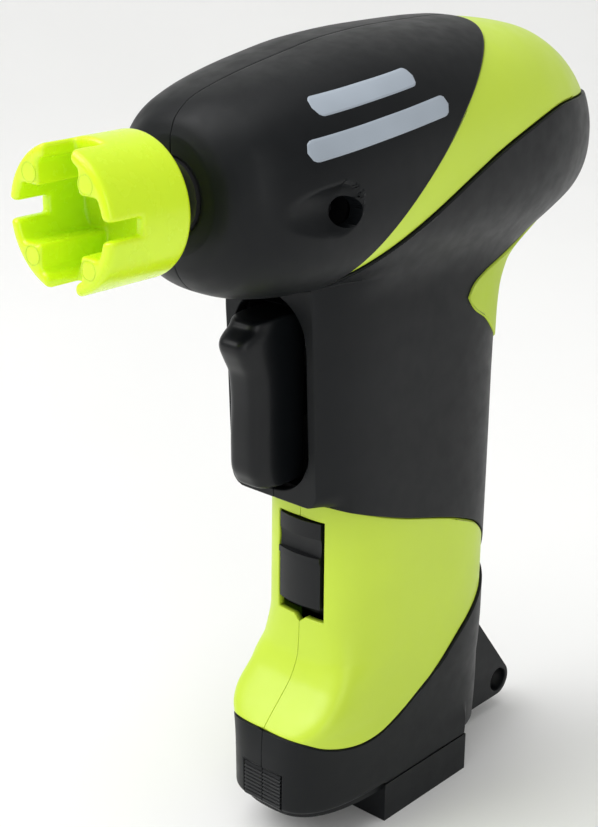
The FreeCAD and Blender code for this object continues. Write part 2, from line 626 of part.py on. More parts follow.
def gear_train():
    """Output gear, both cluster gears and the motor pinion, all in mesh."""
    phase_out = 0.0
    phase_b = meeting_phase(T_B_SMALL, T_OUT, phase_out, direction(OUT_AXIS, B_AXIS))
    output = gear(M_LAST, T_OUT, *PLANE_OUT, *OUT_AXIS, phase_out, False)
    output = output.fuse(rod(6.0, PLANE_OUT[0] - 0.4, PLANE_OUT[0] + 1))
    output = output.cut(rod(SPINDLE_R, -60, -20))
    small_b = gear(M_LAST, T_B_SMALL, *PLANE_OUT, *B_AXIS, phase_b, True)
    big_b = gear(M_FINE, T_B_BIG, *PLANE_MID, *B_AXIS, phase_b, False)
    hub_b = rod(3.2, PLANE_OUT[1], PLANE_MID[0], *B_AXIS)
    phase_a = meeting_phase(T_A_SMALL, T_B_BIG, phase_b, direction(B_AXIS, A_AXIS))
    small_a = gear(M_FINE, T_A_SMALL, PLANE_MID[0], PLANE_IN[0], *A_AXIS, phase_a, True)
    big_a = gear(M_FINE, T_A_BIG, *PLANE_IN, *A_AXIS, phase_a, False)
    nose_a = rod(1.6, PLATE_FRONT[1] + 0.3, PLANE_MID[0], *A_AXIS)
    phase_m = meeting_phase(T_MOTOR, T_A_BIG, phase_a, direction(A_AXIS, MOTOR_AXIS))
    pinion = gear(M_FINE, T_MOTOR, PLANE_IN[0] - 0.3, PLANE_IN[1], *MOTOR_AXIS, phase_m, True)
    cluster_b = fuse_all([small_b, hub_b, big_b]).cut(rod(PIN_R + RUN, -60, -20, *B_AXIS))
    cluster_a = fuse_all([small_a, nose_a, big_a]).cut(rod(PIN_R + RUN, -60, -20, *A_AXIS))
    pinion = pinion.cut(rod(MOTOR_SHAFT_R, -60, -20, *MOTOR_AXIS))
    return output, cluster_b, cluster_a, pinion


# ---- motor ----
def motor_can():
    """Steel motor housing with its front boss."""
    can = rod(MOTOR_R, MOTOR_FRONT, MOTOR_REAR, *MOTOR_AXIS)
    rims = [edge for edge in can.Edges if edge.BoundBox.YLength < 0.01]
    can = can.makeFillet(1.0, rims)
    can = can.fuse(rod(3.0, MOTOR_FRONT - 2.0, MOTOR_FRONT + 0.5, *MOTOR_AXIS))
    inside = rod(MOTOR_R - 0.8, MOTOR_FRONT + 2.0, MOTOR_REAR + 1, *MOTOR_AXIS)
    return cut_all(can, [rod(MOTOR_SHAFT_R + RUN, -40, MOTOR_FRONT + 3, *MOTOR_AXIS), inside])


def motor_rotor():
    """Armature and shaft of the motor."""
    shaft = rod(MOTOR_SHAFT_R, PLANE_IN[0] - 0.3, MOTOR_REAR - 0.5, *MOTOR_AXIS)
    core = rod(MOTOR_R - 3.4, MOTOR_FRONT + 5, MOTOR_REAR - 8, *MOTOR_AXIS)
    for k in range(3):
        turn = math.radians(120 * k)
        x = MOTOR_AXIS[0] + 8.0 * math.cos(turn)
        z = MOTOR_AXIS[1] + 8.0 * math.sin(turn)
        core = core.cut(rod(2.0, MOTOR_FRONT + 4, MOTOR_REAR - 7, x, z))
    commutator = rod(2.8, MOTOR_REAR - 6, MOTOR_REAR - 1.5, *MOTOR_AXIS)
    return fuse_all([shaft, core, commutator])


def motor_magnets():
    """Pair of curved magnets inside the can."""
    sleeve = rod(MOTOR_R - 0.8, MOTOR_FRONT + 4, MOTOR_REAR - 7, *MOTOR_AXIS)
    sleeve = sleeve.cut(rod(MOTOR_R - 2.9, -40, 20, *MOTOR_AXIS))
    gap = box(-3, 3, -40, 20, MOTOR_Z - 20, MOTOR_Z + 20)
    return group(sleeve.cut(gap).Solids)


def motor_end_cap():
    """Plastic cap at the back of the motor, with two solder tags."""
    cap = rod(MOTOR_R - 0.8, MOTOR_REAR - 0.4, MOTOR_REAR + 2.4, *MOTOR_AXIS)
    cap = cap.cut(rod(MOTOR_SHAFT_R + 0.4, MOTOR_REAR - 1, MOTOR_REAR + 1, *MOTOR_AXIS))
    tags = [box(x - 0.3, x + 0.3, MOTOR_REAR + 2, MOTOR_REAR + 5.4, MOTOR_Z - 1.3, MOTOR_Z + 1.3)
            for x in (-6.5, 6.5)]
    return fuse_all([cap] + tags)


def motor_cradle():
    """Ring and legs that hold the back of the motor off the shells."""
    band = rod(MOTOR_R + 1.8, -9, -3, *MOTOR_AXIS)
    legs = [box(x - 1.5, x + 1.5, -9, -3, 147.6, MOTOR_Z - 8) for x in (-8, 8)]
    return fuse_all([band] + legs).cut(rod(MOTOR_R + 0.1, -20, 20, *MOTOR_AXIS))


# ---- trigger and switches ----
STEM_HALF, STEM_LOW, STEM_HIGH = 3.0, 112.0, 122.0
GUIDE_BACK = -24.0
SPRING_Z = 130.0


def trigger():
    """Paddle with a nose for the finger, on a stem that slides in its guide."""
    rear = -35.5
    fronts = [(98.4, -46.8), (99.1, -49.4), (100.8, -51.4), (104.0, -52.4), (110.0, -52.5),
              (118.0, -52.3), (125.4, -52.9), (130.2, -55.2), (133.2, -56.4), (136.2, -54.2),
              (138.4, -50.2), (139.9, -46.2), (140.8, -42.2)]
    paddle = handle([(z, front, rear, TRIGGER_HALF, 3.6, 9.0) for z, front in fronts])
    stem = box(-STEM_HALF, STEM_HALF, -36, -20.4, STEM_LOW, STEM_HIGH)
    barb = box(-STEM_HALF, STEM_HALF, -21.9, -20.4, STEM_LOW - 1.6, STEM_HIGH)
    post = rod(1.4, -36, -32.0, 0, SPRING_Z)
    return fuse_all([paddle, stem, barb, post])


def trigger_guide():
    """Open box behind the trigger's slot, with a slotted back wall for the stem."""
    low, high = SLOT_LOW + 0.2, SLOT_HIGH + 0.1
    outer = box(-11.2, 11.2, -38.6, GUIDE_BACK + 1.4, low, high)
    inner = box(-10.0, 10.0, -40, GUIDE_BACK, low + 1.0, high - 1.0)
    hole = box(-STEM_HALF - 0.3, STEM_HALF + 0.3, -26, -20, STEM_LOW - 0.3, STEM_HIGH + 0.3)
    peg = rod(1.2, GUIDE_BACK - 3.0, GUIDE_BACK + 0.5, 0, SPRING_Z)
    return outer.cut(inner).cut(hole).fuse(peg)


def coil(radius, wire, length, turns, place, axis):
    """A helical spring: short straight lengths of round wire, ten to a turn."""
    count = turns * 10
    slope = math.atan2(length / turns, 2 * math.pi * radius)
    rings = []
    for k in range(count + 1):
        turn = 2 * math.pi * k / 10
        at = V(radius * math.cos(turn), radius * math.sin(turn), length * k / count)
        heading = V(-math.sin(turn) * math.cos(slope), math.cos(turn) * math.cos(slope),
                    math.sin(slope))
        rings.append(Part.Wire([Part.makeCircle(wire, at, heading)]))
    spring = Part.makeLoft(rings, True, True)
    spring.Placement = FreeCAD.Placement(place, FreeCAD.Rotation(Z, axis))
    return spring


def trigger_spring():
    """Return spring between the trigger and its guide."""
    return coil(2.3, 0.3, 10.6, 8, V(0, -35.1, SPRING_Z), Y)


def trigger_switch():
    """Snap switch behind the stem."""
    body = box(-3.2, 3.2, -14.8, -5.2, 107.0, 127.0)
    plunger = box(-1.2, 1.2, -15.6, -14.6, STEM_LOW + 3, STEM_LOW + 6)
    tags = [box(-1.5, 1.5, -5.4, -1.6, z - 0.25, z + 0.25) for z in (109.5, 117.0, 124.5)]
    holes = [cross_rod(1.1, -5, 5, -10.3, z) for z in (112.2, 121.8)]
    return cut_all(fuse_all([body, plunger] + tags), holes)


def direction_slider():
    """Convex finger plate in the window, on a flange that slides behind the wall."""
    low, high = WINDOW_LOW + SLIDER_TRAVEL + 0.3, WINDOW_HIGH - 0.35
    half = WINDOW_HALF - 0.8
    crown_r, crown_front = 21.0, -32.6
    crown = upright(crown_r, low, high, 0, crown_front + crown_r)
    plate = crown.common(box(-half, half, -60, -27.9, low, high))
    ridge_z = high - 9.5
    ridge = upright(crown_r, ridge_z - 1.0, ridge_z + 0.6, 0, crown_front + crown_r - 0.5)
    plate = plate.fuse(ridge.common(box(-half, half, -60, -28.4, low, high)))
    scoop_r = 9.0
    scoop = Part.makeCylinder(scoop_r, 40, V(-20, crown_front - scoop_r + 1.5, ridge_z + 3.0), X)
    scoop = scoop.common(box(-20, 20, -60, 0, ridge_z + 0.6, ridge_z + 5.4))
    plate = plate.cut(scoop)
    flange = box(-8.4, 8.4, -28.0, -26.8, low - 3.4, high + 2.4)
    fork = box(-2.4, 2.4, -27.4, -22.9, 72.0, 78.0)
    fork = fork.cut(box(-1.2, 1.2, -25.9, -20, 70, 80))
    return fuse_all([plate, flange, fork])


def reverse_switch():
    """Sliding change-over switch that swaps the motor's polarity."""
    body = box(-5.5, 5.5, -21.9, -15.6, 67.6, 86.0)
    track = box(-1.4, 1.4, -23, -19.5, 69.6, 79.5)
    tags = [box(x - 0.6, x + 0.6, -15.8, -13.0, z - 0.2, z + 0.2)
            for x in (-3, 3) for z in (70.0, 75.0, 80.0)]
    return fuse_all([body.cut(track)] + tags)


def switch_knob():
    """Small lever of the change-over switch, held in the slider's fork."""
    return box(-1.1, 1.1, -25.6, -19.7, 73.5, 76.5)


# ---- power ----
def cell_centres():
    """The four cell axes, in pairs."""
    step = CELL_PITCH / 2
    return [(x * step, CELL_MID_Y + y * step) for y in (-1, 1) for x in (-1, 1)]


def battery_cell(x, y, up):
    """AA cell with its button end up or down."""
    low, high = CELL_LOW, CELL_LOW + CELL_L
    if up:
        can = upright(CELL_R, low, high - 1.4, x, y).fuse(upright(2.7, high - 1.5, high, x, y))
    else:
        can = upright(CELL_R, low + 1.4, high, x, y).fuse(upright(2.7, low, low + 1.5, x, y))
    return can.removeSplitter()


def battery_holder():
    """Top plate, end walls and centre post that keep the cells apart."""
    top = CELL_LOW + CELL_L + 3.6
    y0, y1 = CELL_MID_Y - 16.4, CELL_MID_Y + 16.4
    shapes = [box(-13.9, 13.9, y0, y1, top, top + 1.6),
              box(-11.5, 11.5, y0, y0 + 1.1, BASE_Z + 1.7, top + 0.5),
              box(-11.5, 11.5, y1 - 1.1, y1, BASE_Z + 1.7, top + 0.5)]
    post = box(-1.7, 1.7, CELL_MID_Y - 1.7, CELL_MID_Y + 1.7, BASE_Z + 4, top + 0.5)
    return fuse_all(shapes + [post])


def contact_springs():
    """Coil contacts above the cells."""
    top = CELL_LOW + CELL_L
    springs = []
    for x, y in cell_centres():
        springs.append(coil(3.0, 0.3, 2.5, 3, V(x, y, top + 0.35), Z))
    return group(springs)


def contact_plates():
    """Plates that the coil contacts stand on, under the holder's top."""
    top = CELL_LOW + CELL_L + 3.6
    half = CELL_PITCH / 2
    return group([box(x - 5.0, x + 5.0, CELL_MID_Y + y - 5.0, CELL_MID_Y + y + 5.0, top - 0.4, top)
                  for x in (-half, half) for y in (-half, half)])


def door_contacts():
    """Two bridging contacts let into the top of the door."""
    return group([box(x - 5.6, x + 5.6, -CONTACT_REACH, CONTACT_REACH, CONTACT_Z, CONTACT_Z + 0.4)
                  for x in (-CELL_PITCH / 2, CELL_PITCH / 2)])


# ---- fasteners and wiring ----
def head_screws():
    """Screws in the side wells, through the shells into the gearbox lugs."""
    screws = []
    for side in (-1, 1):
        head_x = sorted((side * (SCREW_FLOOR + 2.0), side * (SCREW_FLOOR + 4.2)))
        shank_x = sorted((side * 7.6, side * (SCREW_FLOOR + 2.1)))
        screw = cross_rod(2.8, *head_x, SCREW_Y, SCREW_Z).fuse(
            cross_rod(1.25, *shank_x, SCREW_Y, SCREW_Z))
        outer = side * (SCREW_FLOOR + 4.2)
        arms = [box(outer - 1.1, outer + 1.1, SCREW_Y - 1.7, SCREW_Y + 1.7,
                    SCREW_Z - 0.35, SCREW_Z + 0.35),
                box(outer - 1.1, outer + 1.1, SCREW_Y - 0.35, SCREW_Y + 0.35,
                    SCREW_Z - 1.7, SCREW_Z + 1.7)]
        screws.append(cut_all(screw, arms))
    return group(screws)


def tube(points, radius):
    """A wire of straight runs joined by tangent arcs."""
    corners = [V(*p) for p in points]
    edges, start = [], corners[0]
    for before, corner, after in zip(corners, corners[1:], corners[2:]):
        into, out = (corner - before), (after - corner)
        reach = min(into.Length, out.Length) * 0.45
        into.normalize()
        out.normalize()
        first, last = corner - into * reach, corner + out * reach
        bend = into.getAngle(out)
        middle_dir = (out - into).normalize()
        arc_radius = reach / math.tan(bend / 2)
        middle = corner + middle_dir * (arc_radius / math.cos(bend / 2) - arc_radius)
        edges.append(Part.LineSegment(start, first).toShape())
        edges.append(Part.Arc(first, middle, last).toShape())
        start = last
    edges.append(Part.LineSegment(start, corners[-1]).toShape())
    heading = corners[1] - corners[0]
    profile = Part.Wire([Part.makeCircle(radius, corners[0], heading)])
    return Part.Wire(edges).makePipeShell([profile], True, False)


def motor_leads():
    """Two insulated leads from the motor down to the change-over switch."""
    leads = []
    for x in (-6.5, 6.5):
        route = [(x, MOTOR_REAR + 6.0, MOTOR_Z), (x, 23.0, 168.0), (x * 0.8, 22.5, 140.0),
                 (x * 0.7, 14.0, 105.0), (x * 0.5, -4.0, 88.0), (x * 0.46, -12.4, 75.0)]
        leads.append(tube(route, 0.7))
    return group(leads)


# ---- build and write every node ----
def build():
    """Every sub-part by node name."""
    nodes = {}
    nodes["nose_shell_left"], nodes["nose_shell_right"] = nose_shells()
    nodes["rear_cap"] = rear_cap()
    nodes["grip_shell_left"], nodes["grip_shell_right"] = grip_shells()
    nodes["neck_pad"] = neck_pad()
    nodes["lower_grip_left"], nodes["lower_grip_right"] = panel_shells()
    nodes["base_shell_left"], nodes["base_shell_right"] = base_shells()
    nodes["latch_tab"] = latch_tab()
    nodes["battery_door"] = battery_door()
    nodes["door_contacts"] = door_contacts()
    nodes["winder_cup"] = winder_cup()
    nodes["spindle"] = spindle()
    nodes["front_bush"] = front_bush()
    nodes["retaining_clip"] = retaining_clip()
    nodes["gearbox_front_plate"] = gearbox_front()
    nodes["gearbox_rear_plate"] = gearbox_rear()
    nodes["gearbox_screws"] = gearbox_screws()
    nodes["gear_pins"] = gear_pins()
    output, cluster_b, cluster_a, pinion = gear_train()
    nodes["output_gear"] = output
    nodes["second_cluster_gear"] = cluster_b
    nodes["first_cluster_gear"] = cluster_a
    nodes["motor_pinion"] = pinion
    nodes["motor_can"] = motor_can()
    nodes["motor_rotor"] = motor_rotor()
    nodes["motor_magnets"] = motor_magnets()
    nodes["motor_end_cap"] = motor_end_cap()
    nodes["motor_cradle"] = motor_cradle()
    nodes["trigger"] = trigger()
    nodes["trigger_guide"] = trigger_guide()
    nodes["trigger_spring"] = trigger_spring()
    nodes["trigger_switch"] = trigger_switch()
    nodes["direction_slider"] = direction_slider()
    nodes["reverse_switch"] = reverse_switch()
    nodes["switch_knob"] = switch_knob()
    for number, (x, y) in enumerate(cell_centres(), 1):
        nodes[f"battery_cell_{number}"] = battery_cell(x, y, number in (1, 4))
    nodes["battery_holder"] = battery_holder()
    nodes["contact_springs"] = contact_springs()
    nodes["contact_plates"] = contact_plates()
    nodes["head_screws"] = head_screws()
    nodes["motor_leads"] = motor_leads()
    return nodes


for name, shape in build().items():
    shape.exportStep(f"parts/{name}.step")
    state = "" if shape.isValid() else "  INVALID"
    print(f"{name:22s} solids {len(shape.Solids)}  volume {shape.Volume / 1000:8.3f} cm3{state}")
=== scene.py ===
import json
import math

import bmesh
import bpy
import numpy as np
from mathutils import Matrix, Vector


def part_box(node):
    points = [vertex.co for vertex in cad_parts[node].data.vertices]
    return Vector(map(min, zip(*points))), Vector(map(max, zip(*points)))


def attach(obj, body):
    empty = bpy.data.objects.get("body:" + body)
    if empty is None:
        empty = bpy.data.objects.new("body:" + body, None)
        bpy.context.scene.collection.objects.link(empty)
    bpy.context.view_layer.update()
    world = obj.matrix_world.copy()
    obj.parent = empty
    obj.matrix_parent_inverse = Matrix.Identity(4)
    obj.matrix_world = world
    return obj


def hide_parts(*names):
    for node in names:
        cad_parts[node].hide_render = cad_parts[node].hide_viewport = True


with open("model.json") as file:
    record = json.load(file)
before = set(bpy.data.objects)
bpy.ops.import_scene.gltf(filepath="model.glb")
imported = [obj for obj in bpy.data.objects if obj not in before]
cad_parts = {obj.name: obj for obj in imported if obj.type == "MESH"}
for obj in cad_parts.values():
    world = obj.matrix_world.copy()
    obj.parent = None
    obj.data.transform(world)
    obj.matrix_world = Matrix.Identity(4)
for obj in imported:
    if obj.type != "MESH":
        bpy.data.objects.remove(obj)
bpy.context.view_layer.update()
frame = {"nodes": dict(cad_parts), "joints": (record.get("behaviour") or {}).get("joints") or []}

import openvdb
from mathutils import Matrix, Vector

# Looks of the battery-powered string winder. Shapes are worked out in millimetres in the
# CAD frame: +Z up the handle, the cup points to -Y, and the tool mirrors about X = 0.
MM = 0.001
JOINTS = {joint["name"]: joint for joint in frame["joints"]}
SPINDLE_Z = JOINTS["cup_spin"]["pos_m"][2] / MM
HANDLE = "handle"

# ---- driving shapes, as in the CAD ----
# Head: y, top and bottom above the spindle, half width, roundness exponent.
HEAD = [
    (-72.7, 12.5, -12.5, 12.5, 2.0), (-71.5, 15.7, -16.3, 16.0, 2.05),
    (-69.5, 17.8, -19.2, 18.8, 2.15), (-66.8, 19.5, -21.4, 21.4, 2.3),
    (-60.7, 21.5, -23.6, 24.4, 2.4), (-52.0, 23.6, -24.7, 26.6, 2.5),
    (-40.0, 25.9, -25.1, 27.8, 2.6), (-25.0, 28.3, -25.3, 28.4, 2.6),
    (-8.0, 29.4, -25.5, 28.5, 2.55), (10.0, 29.6, -25.5, 28.1, 2.5),
    (25.0, 29.0, -25.3, 27.3, 2.4), (38.0, 27.0, -24.9, 25.4, 2.3),
    (48.0, 23.4, -24.0, 22.4, 2.2), (56.0, 18.3, -22.2, 18.8, 2.15),
    (61.5, 12.2, -19.6, 14.4, 2.1), (65.0, 5.5, -15.5, 9.6, 2.05),
    (66.8, -2.5, -8.0, 3.0, 2.0),
]
# Handle: z, front, rear, half width, front exponent, rear exponent.
GRIP = [
    (50.0, -45.0, 30.4, 17.8, 3.6, 3.5), (90.0, -45.4, 30.6, 17.8, 3.6, 3.5),
    (110.0, -46.6, 30.6, 17.8, 3.6, 3.5), (126.0, -47.2, 30.8, 17.9, 3.6, 3.5),
    (133.0, -47.5, 31.8, 17.9, 3.6, 3.4), (139.0, -48.0, 35.0, 17.9, 3.6, 3.2),
    (145.0, -48.0, 42.0, 17.9, 3.6, 2.9), (152.0, -48.0, 49.0, 17.9, 3.6, 2.7),
    (160.0, -48.0, 53.0, 17.9, 3.6, 2.6),
]
BASE = [
    (11.0, -45.2, 29.6, 17.4, 3.4, 3.6), (25.0, -45.3, 30.4, 17.4, 3.5, 3.6),
    (31.5, -44.9, 30.4, 17.6, 3.9, 3.5), (34.5, -42.6, 30.4, 17.8, 5.4, 3.5),
    (38.0, -39.3, 30.4, 17.9, 6.8, 3.5), (43.0, -35.1, 30.4, 17.9, 6.8, 3.5),
    (49.0, -32.8, 30.4, 17.8, 4.6, 3.5), (58.0, -32.4, 30.4, 17.8, 3.5, 3.5),
    (98.0, -32.4, 30.4, 17.8, 3.4, 3.5),
]
# Parting lines of the shells, seen from the side as y, z.
CAP_FRONT = [(30, 203), (16.6, 198.4), (5.8, 193.3), (-7.7, 183.7), (-18.8, 172.9),
             (-31.7, 161.0), (-43.3, 149.2)]
CAP_REAR = [(74, 178.3), (50, 179.4), (32, 179.4), (16.6, 175.9), (-1.6, 169.6),
            (-18.5, 161.4), (-33.5, 153.4), (-43.3, 148.2)]
PANEL_TOP = [(-38.4, 93.1), (-33.5, 91.2), (-22.6, 87.1), (-12.3, 83.5), (1.5, 79.3),
             (10.2, 76.3), (19.3, 71.8), (25.0, 66.2), (28.6, 58.6)]
PANEL_LOW = [(-50.0, 32.4), (-44.6, 32.2), (-37.4, 29.2), (-31.9, 27.6), (-25.4, 26.7),
             (-19.8, 27.1), (-12.6, 29.5), (-5.9, 32.7), (2.8, 37.5), (11.5, 43.2),
             (18.9, 47.9), (25.0, 52.6), (28.6, 56.4)]
PAD_TOP = [(8.4, 134.8), (10.4, 137.6), (14.7, 139.8), (22.5, 142.0), (34.0, 144.9),
           (52.0, 149.4)]
PAD_LOW = [(8.4, 134.8), (11.0, 131.7), (17.4, 127.6), (23.0, 122.9), (31.0, 117.5),
           (52.0, 110.0)]

# Heights of the shells' edges where those lines stop, at the toe and up the back.
TOE_BASE, TOE_PANEL = 32.2, 32.5
BACK_BASE, BACK_PANEL_LOW, BACK_GRIP, BACK_PANEL_TOP = 57.3, 56.55, 57.6, 58.45

WALL = 2.4               # thickness of the shells
LIME_STEP = 0.7          # how far the green panels lie below the black ones
TOE_STEP = 0.1           # the same at the toe, where green and black are nearly flush
SEAM = 0.3               # gap between neighbouring shell pieces
SPLIT = 0.05             # each half of a shell stops this far from X = 0
ROUND = 0.38             # radius on the shells' edges
CREASE = 7.0             # width of the soft blend between head and handle
NEAR_CREASE = 9.0        # distance from both surfaces within which the blend is felt
TAIL_Y, TAIL_TOP = 58.0, 176.0
MERGED = 0.01 * MM       # points closer than this are one

# Trigger's frame: a flat face that leans forward as it rises, with a rounded slot.
BEZEL_Y, BEZEL_Z, BEZEL_LEAN = -39.0, 45.0, 0.045
BEZEL_BOTTOM, FRAME_ROUND, FRAME_SIDE = 93.0, 4.0, 9.0
SILL, SILL_GAP = 2.0, 0.5
SLOT_HALF, SLOT_LOW, SLOT_HIGH = 11.0, 95.4, 143.4
# Slider's window, latch's window, and the base with its foot.
WINDOW_HALF, WINDOW_LOW, WINDOW_HIGH = 7.3, 58.6, 85.1
LATCH_HALF, LATCH_HIGH = 6.35, 21.45
BASE_Z, BASE_FILLET = 11.0, 1.4
FOOT_HALF, FOOT_COVER = 17.2, 0.12
# Side screw: its axis, the hole in the skin, the well behind it and the scoop beside it.
SCREW_Y, SCREW_Z = -47.2, 166.6
SCREW_MOUTH, WELL_R, WELL_WALL, PILOT_R = 3.3, 3.9, 1.5, 1.5
WELL_TOP, WELL_FLOOR, WELL_BOTTOM = 22.6, 16.9, 15.1
SCOOP_R, SCOOP_AT = 6.3, (29.8, -50.2, 167.6)
NOSE_BORE = 8.4
PAD_THICK, PAD_PROUD, PAD_ROUND = 1.4, 0.45, 0.4
# Lanyard fin: its eye, its half thickness and the slope of its upper edge.
LUG_AT, LUG_HOLE, LUG_REACH, LUG_HALF = (49.3, 9.4), 3.45, 5.0, 5.0
LUG_SLOPE, LUG_WALL = 1.29, 29.0


# ---- curves and fields ----
def monotone(xs, ys):
    """A smooth function through points that never overshoots them."""
    xs, ys = np.array(xs, float), np.array(ys, float)
    gaps = np.diff(xs)
    rises = np.diff(ys) / gaps
    slopes = np.zeros(len(xs))
    slopes[0], slopes[-1] = rises[0], rises[-1]
    for i in range(1, len(xs) - 1):
        if rises[i - 1] * rises[i] > 0:
            near, far = 2 * gaps[i] + gaps[i - 1], gaps[i] + 2 * gaps[i - 1]
            slopes[i] = (near + far) / (near / rises[i - 1] + far / rises[i])

    def value(x):
        x = np.clip(x, xs[0], xs[-1])
        i = np.clip(np.searchsorted(xs, x, side="right") - 1, 0, len(gaps) - 1)
        t = (x - xs[i]) / gaps[i]
        return ((2 * t ** 3 - 3 * t ** 2 + 1) * ys[i] + (3 * t ** 2 - 2 * t ** 3) * ys[i + 1]
                + gaps[i] * ((t ** 3 - 2 * t ** 2 + t) * slopes[i]
                             + (t ** 3 - t ** 2) * slopes[i + 1]))

    return value


def columns(table):
    """A station table as smooth functions of its first column."""
    first, *others = zip(*table)
    return [monotone(first, column) for column in others]


HEAD_CURVES = columns(HEAD)
GRIP_CURVES, BASE_CURVES = columns(GRIP), columns(BASE)


def signed_power(value, power):
    return np.sign(value) * np.abs(value) ** power


def head_ring(y):
    """Middle height, half height, half width and exponent of the head at y."""
    top, low, half, n = (curve(y) for curve in HEAD_CURVES)
    return SPINDLE_Z + (top + low) / 2, (top - low) / 2, half, n


def head_point(y, angle, scale=1.0):
    """A point of the head; angle 0 is the side, a right angle the top."""
    mid, tall, half, n = head_ring(y)
    x = scale * half * signed_power(np.cos(angle), 2 / n)
    z = mid + scale * tall * signed_power(np.sin(angle), 2 / n)
    return np.stack(np.broadcast_arrays(x, y, z), -1)


def head_angle(y, z):
    """The angle at which the head has height z."""
    mid, tall, _, n = head_ring(y)
    level = np.clip((z - mid) / tall, -1, 1)
    return np.arcsin(signed_power(level, n / 2))


def head_field(p):
    mid, tall, half, n = head_ring(p[..., 1])
    share = (np.abs(p[..., 0] / half) ** n + np.abs((p[..., 2] - mid) / tall) ** n) ** (1 / n)
    return (share - 1) * np.minimum(half, tall)


def handle_ring(curves, z, inset=0.0):
    """Middle, half depth, half width, front and rear exponent of the handle at z."""
    front, rear, half, n_front, n_rear = (curve(z) for curve in curves)
    return (front + rear) / 2, (rear - front) / 2 - inset, half - inset, n_front, n_rear


def handle_point(curves, z, angle, inset=0.0):
    """A point of the handle; angle 0 is its back, pi its front."""
    mid, reach, half, n_front, n_rear = handle_ring(curves, z, inset)
    n = np.where(np.cos(angle) > 0, n_rear, n_front)
    y = mid + reach * signed_power(np.cos(angle), 2 / n)
    x = half * signed_power(np.sin(angle), 2 / n)
    return np.stack(np.broadcast_arrays(x, y, z), -1)


def handle_angle(curves, z, y, inset=0.0):
    """The angle at which the handle has depth y."""
    mid, reach, _, n_front, n_rear = handle_ring(curves, z, inset)
    level = np.clip((y - mid) / reach, -1, 1)
    n = np.where(level > 0, n_rear, n_front)
    return np.arccos(signed_power(level, n / 2))


def grip_field(p):
    mid, reach, half, n_front, n_rear = handle_ring(GRIP_CURVES, p[..., 2])
    level = (p[..., 1] - mid) / reach
    n = np.where(level > 0, n_rear, n_front)
    share = (np.abs(level) ** n + np.abs(p[..., 0] / half) ** n) ** (1 / n)
    return np.maximum((share - 1) * half, p[..., 2] - 158.0)


def gradient(field, p, step=0.02):
    """Slope of a field at points."""
    parts = []
    for axis in range(3):
        move = np.zeros(3)
        move[axis] = step
        parts.append((field(p + move) - field(p - move)) / (2 * step))
    return np.stack(parts, -1)


def distance(field, p):
    """The field as a distance near its surface."""
    return field(p) / np.maximum(np.linalg.norm(gradient(field, p), axis=-1), 0.2)


def body_field(p):
    """Head and handle together, with a soft crease between them."""
    a, b = distance(head_field, p), distance(grip_field, p)
    close = np.maximum(CREASE - np.abs(a - b), 0) / CREASE
    return np.minimum(a, b) - close ** 2 * CREASE / 4


def onto(field, p, rounds=5):
    """Points moved onto the field's surface."""
    for _ in range(rounds):
        slope = gradient(field, p)
        size = np.maximum((slope ** 2).sum(-1), 0.05)
        p = p - (field(p) / size)[..., None] * slope
    return p


def shifted(points, gap):
    """A side-view line moved to its left."""
    points = np.array(points, float)
    along = np.gradient(points, axis=0)
    along /= np.linalg.norm(along, axis=1)[:, None]
    return points + gap * np.stack([-along[:, 1], along[:, 0]], 1)


def curve_of(points):
    """Smooth line through side-view points, for a share from 0 to 1."""
    points = np.array(points, float)
    lengths = np.concatenate([[0], np.cumsum(np.linalg.norm(np.diff(points, axis=0), axis=1))])
    shares = lengths / lengths[-1]
    slopes = np.gradient(points, shares, axis=0)

    def value(share):
        share = np.clip(share, 0, 1)
        i = np.clip(np.searchsorted(shares, share, side="right") - 1, 0, len(shares) - 2)
        gap = shares[i + 1] - shares[i]
        t = ((share - shares[i]) / gap)[..., None]
        gap = gap[..., None]
        return ((2 * t ** 3 - 3 * t ** 2 + 1) * points[i] + (3 * t ** 2 - 2 * t ** 3) * points[i + 1]
                + gap * ((t ** 3 - 2 * t ** 2 + t) * slopes[i] + (t ** 3 - t ** 2) * slopes[i + 1]))

    return value


def evenly(points, count):
    """Places along dense points, evenly spaced, as fractional indices."""
    steps = np.linalg.norm(np.diff(points, axis=0), axis=1)
    lengths = np.concatenate([[0], np.cumsum(steps)])
    return np.interp(np.linspace(0, lengths[-1], count), lengths, np.arange(len(points)))


def crossing(test):
    """The share from 0 to 1 at which a test goes from positive to negative."""
    low, high = 0.0, 1.0
    for _ in range(40):
        middle = (low + high) / 2
        if test(middle) > 0:
            low = middle
        else:
            high = middle
    return high


def head_line(points, count):
    """A parting line on the head, from its top ridge down, as y and angle."""
    line = curve_of(points)
    start = crossing(lambda s: float(head_field(np.array([0.0, *line(np.array(s))]))))
    share = start + (1 - start) * np.linspace(0, 1, 600) ** 2
    y, z = line(share).T
    angle = head_angle(y, z)
    angle[0] = math.pi / 2
    at = evenly(head_point(y, angle), count)
    dense = np.arange(len(y))
    return np.interp(at, dense, y), np.interp(at, dense, angle)


def mix(a, b, share):
    return a + (b - a) * share


def smoothstep(x):
    x = np.clip(x, 0, 1)
    return x * x * (3 - 2 * x)


# ---- meshes ----
def linked(mesh, name):
    piece = bpy.data.objects.new(name, mesh)
    bpy.context.scene.collection.objects.link(piece)
    return piece


def finished(piece, body, material, nodes=()):
    """Gives a piece its body, the CAD nodes it stands for and material."""
    piece.data.materials.clear()
    piece.data.materials.append(material)
    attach(piece, body)
    if nodes:
        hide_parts(*nodes)


def add_grid(bm, grid):
    """Quads through a grid of points."""
    verts = [[bm.verts.new(Vector(point) * MM) for point in row] for row in grid]
    for row, above in zip(verts, verts[1:]):
        for a, b, c, d in zip(row, row[1:], above[1:], above):
            bm.faces.new((a, b, c, d))


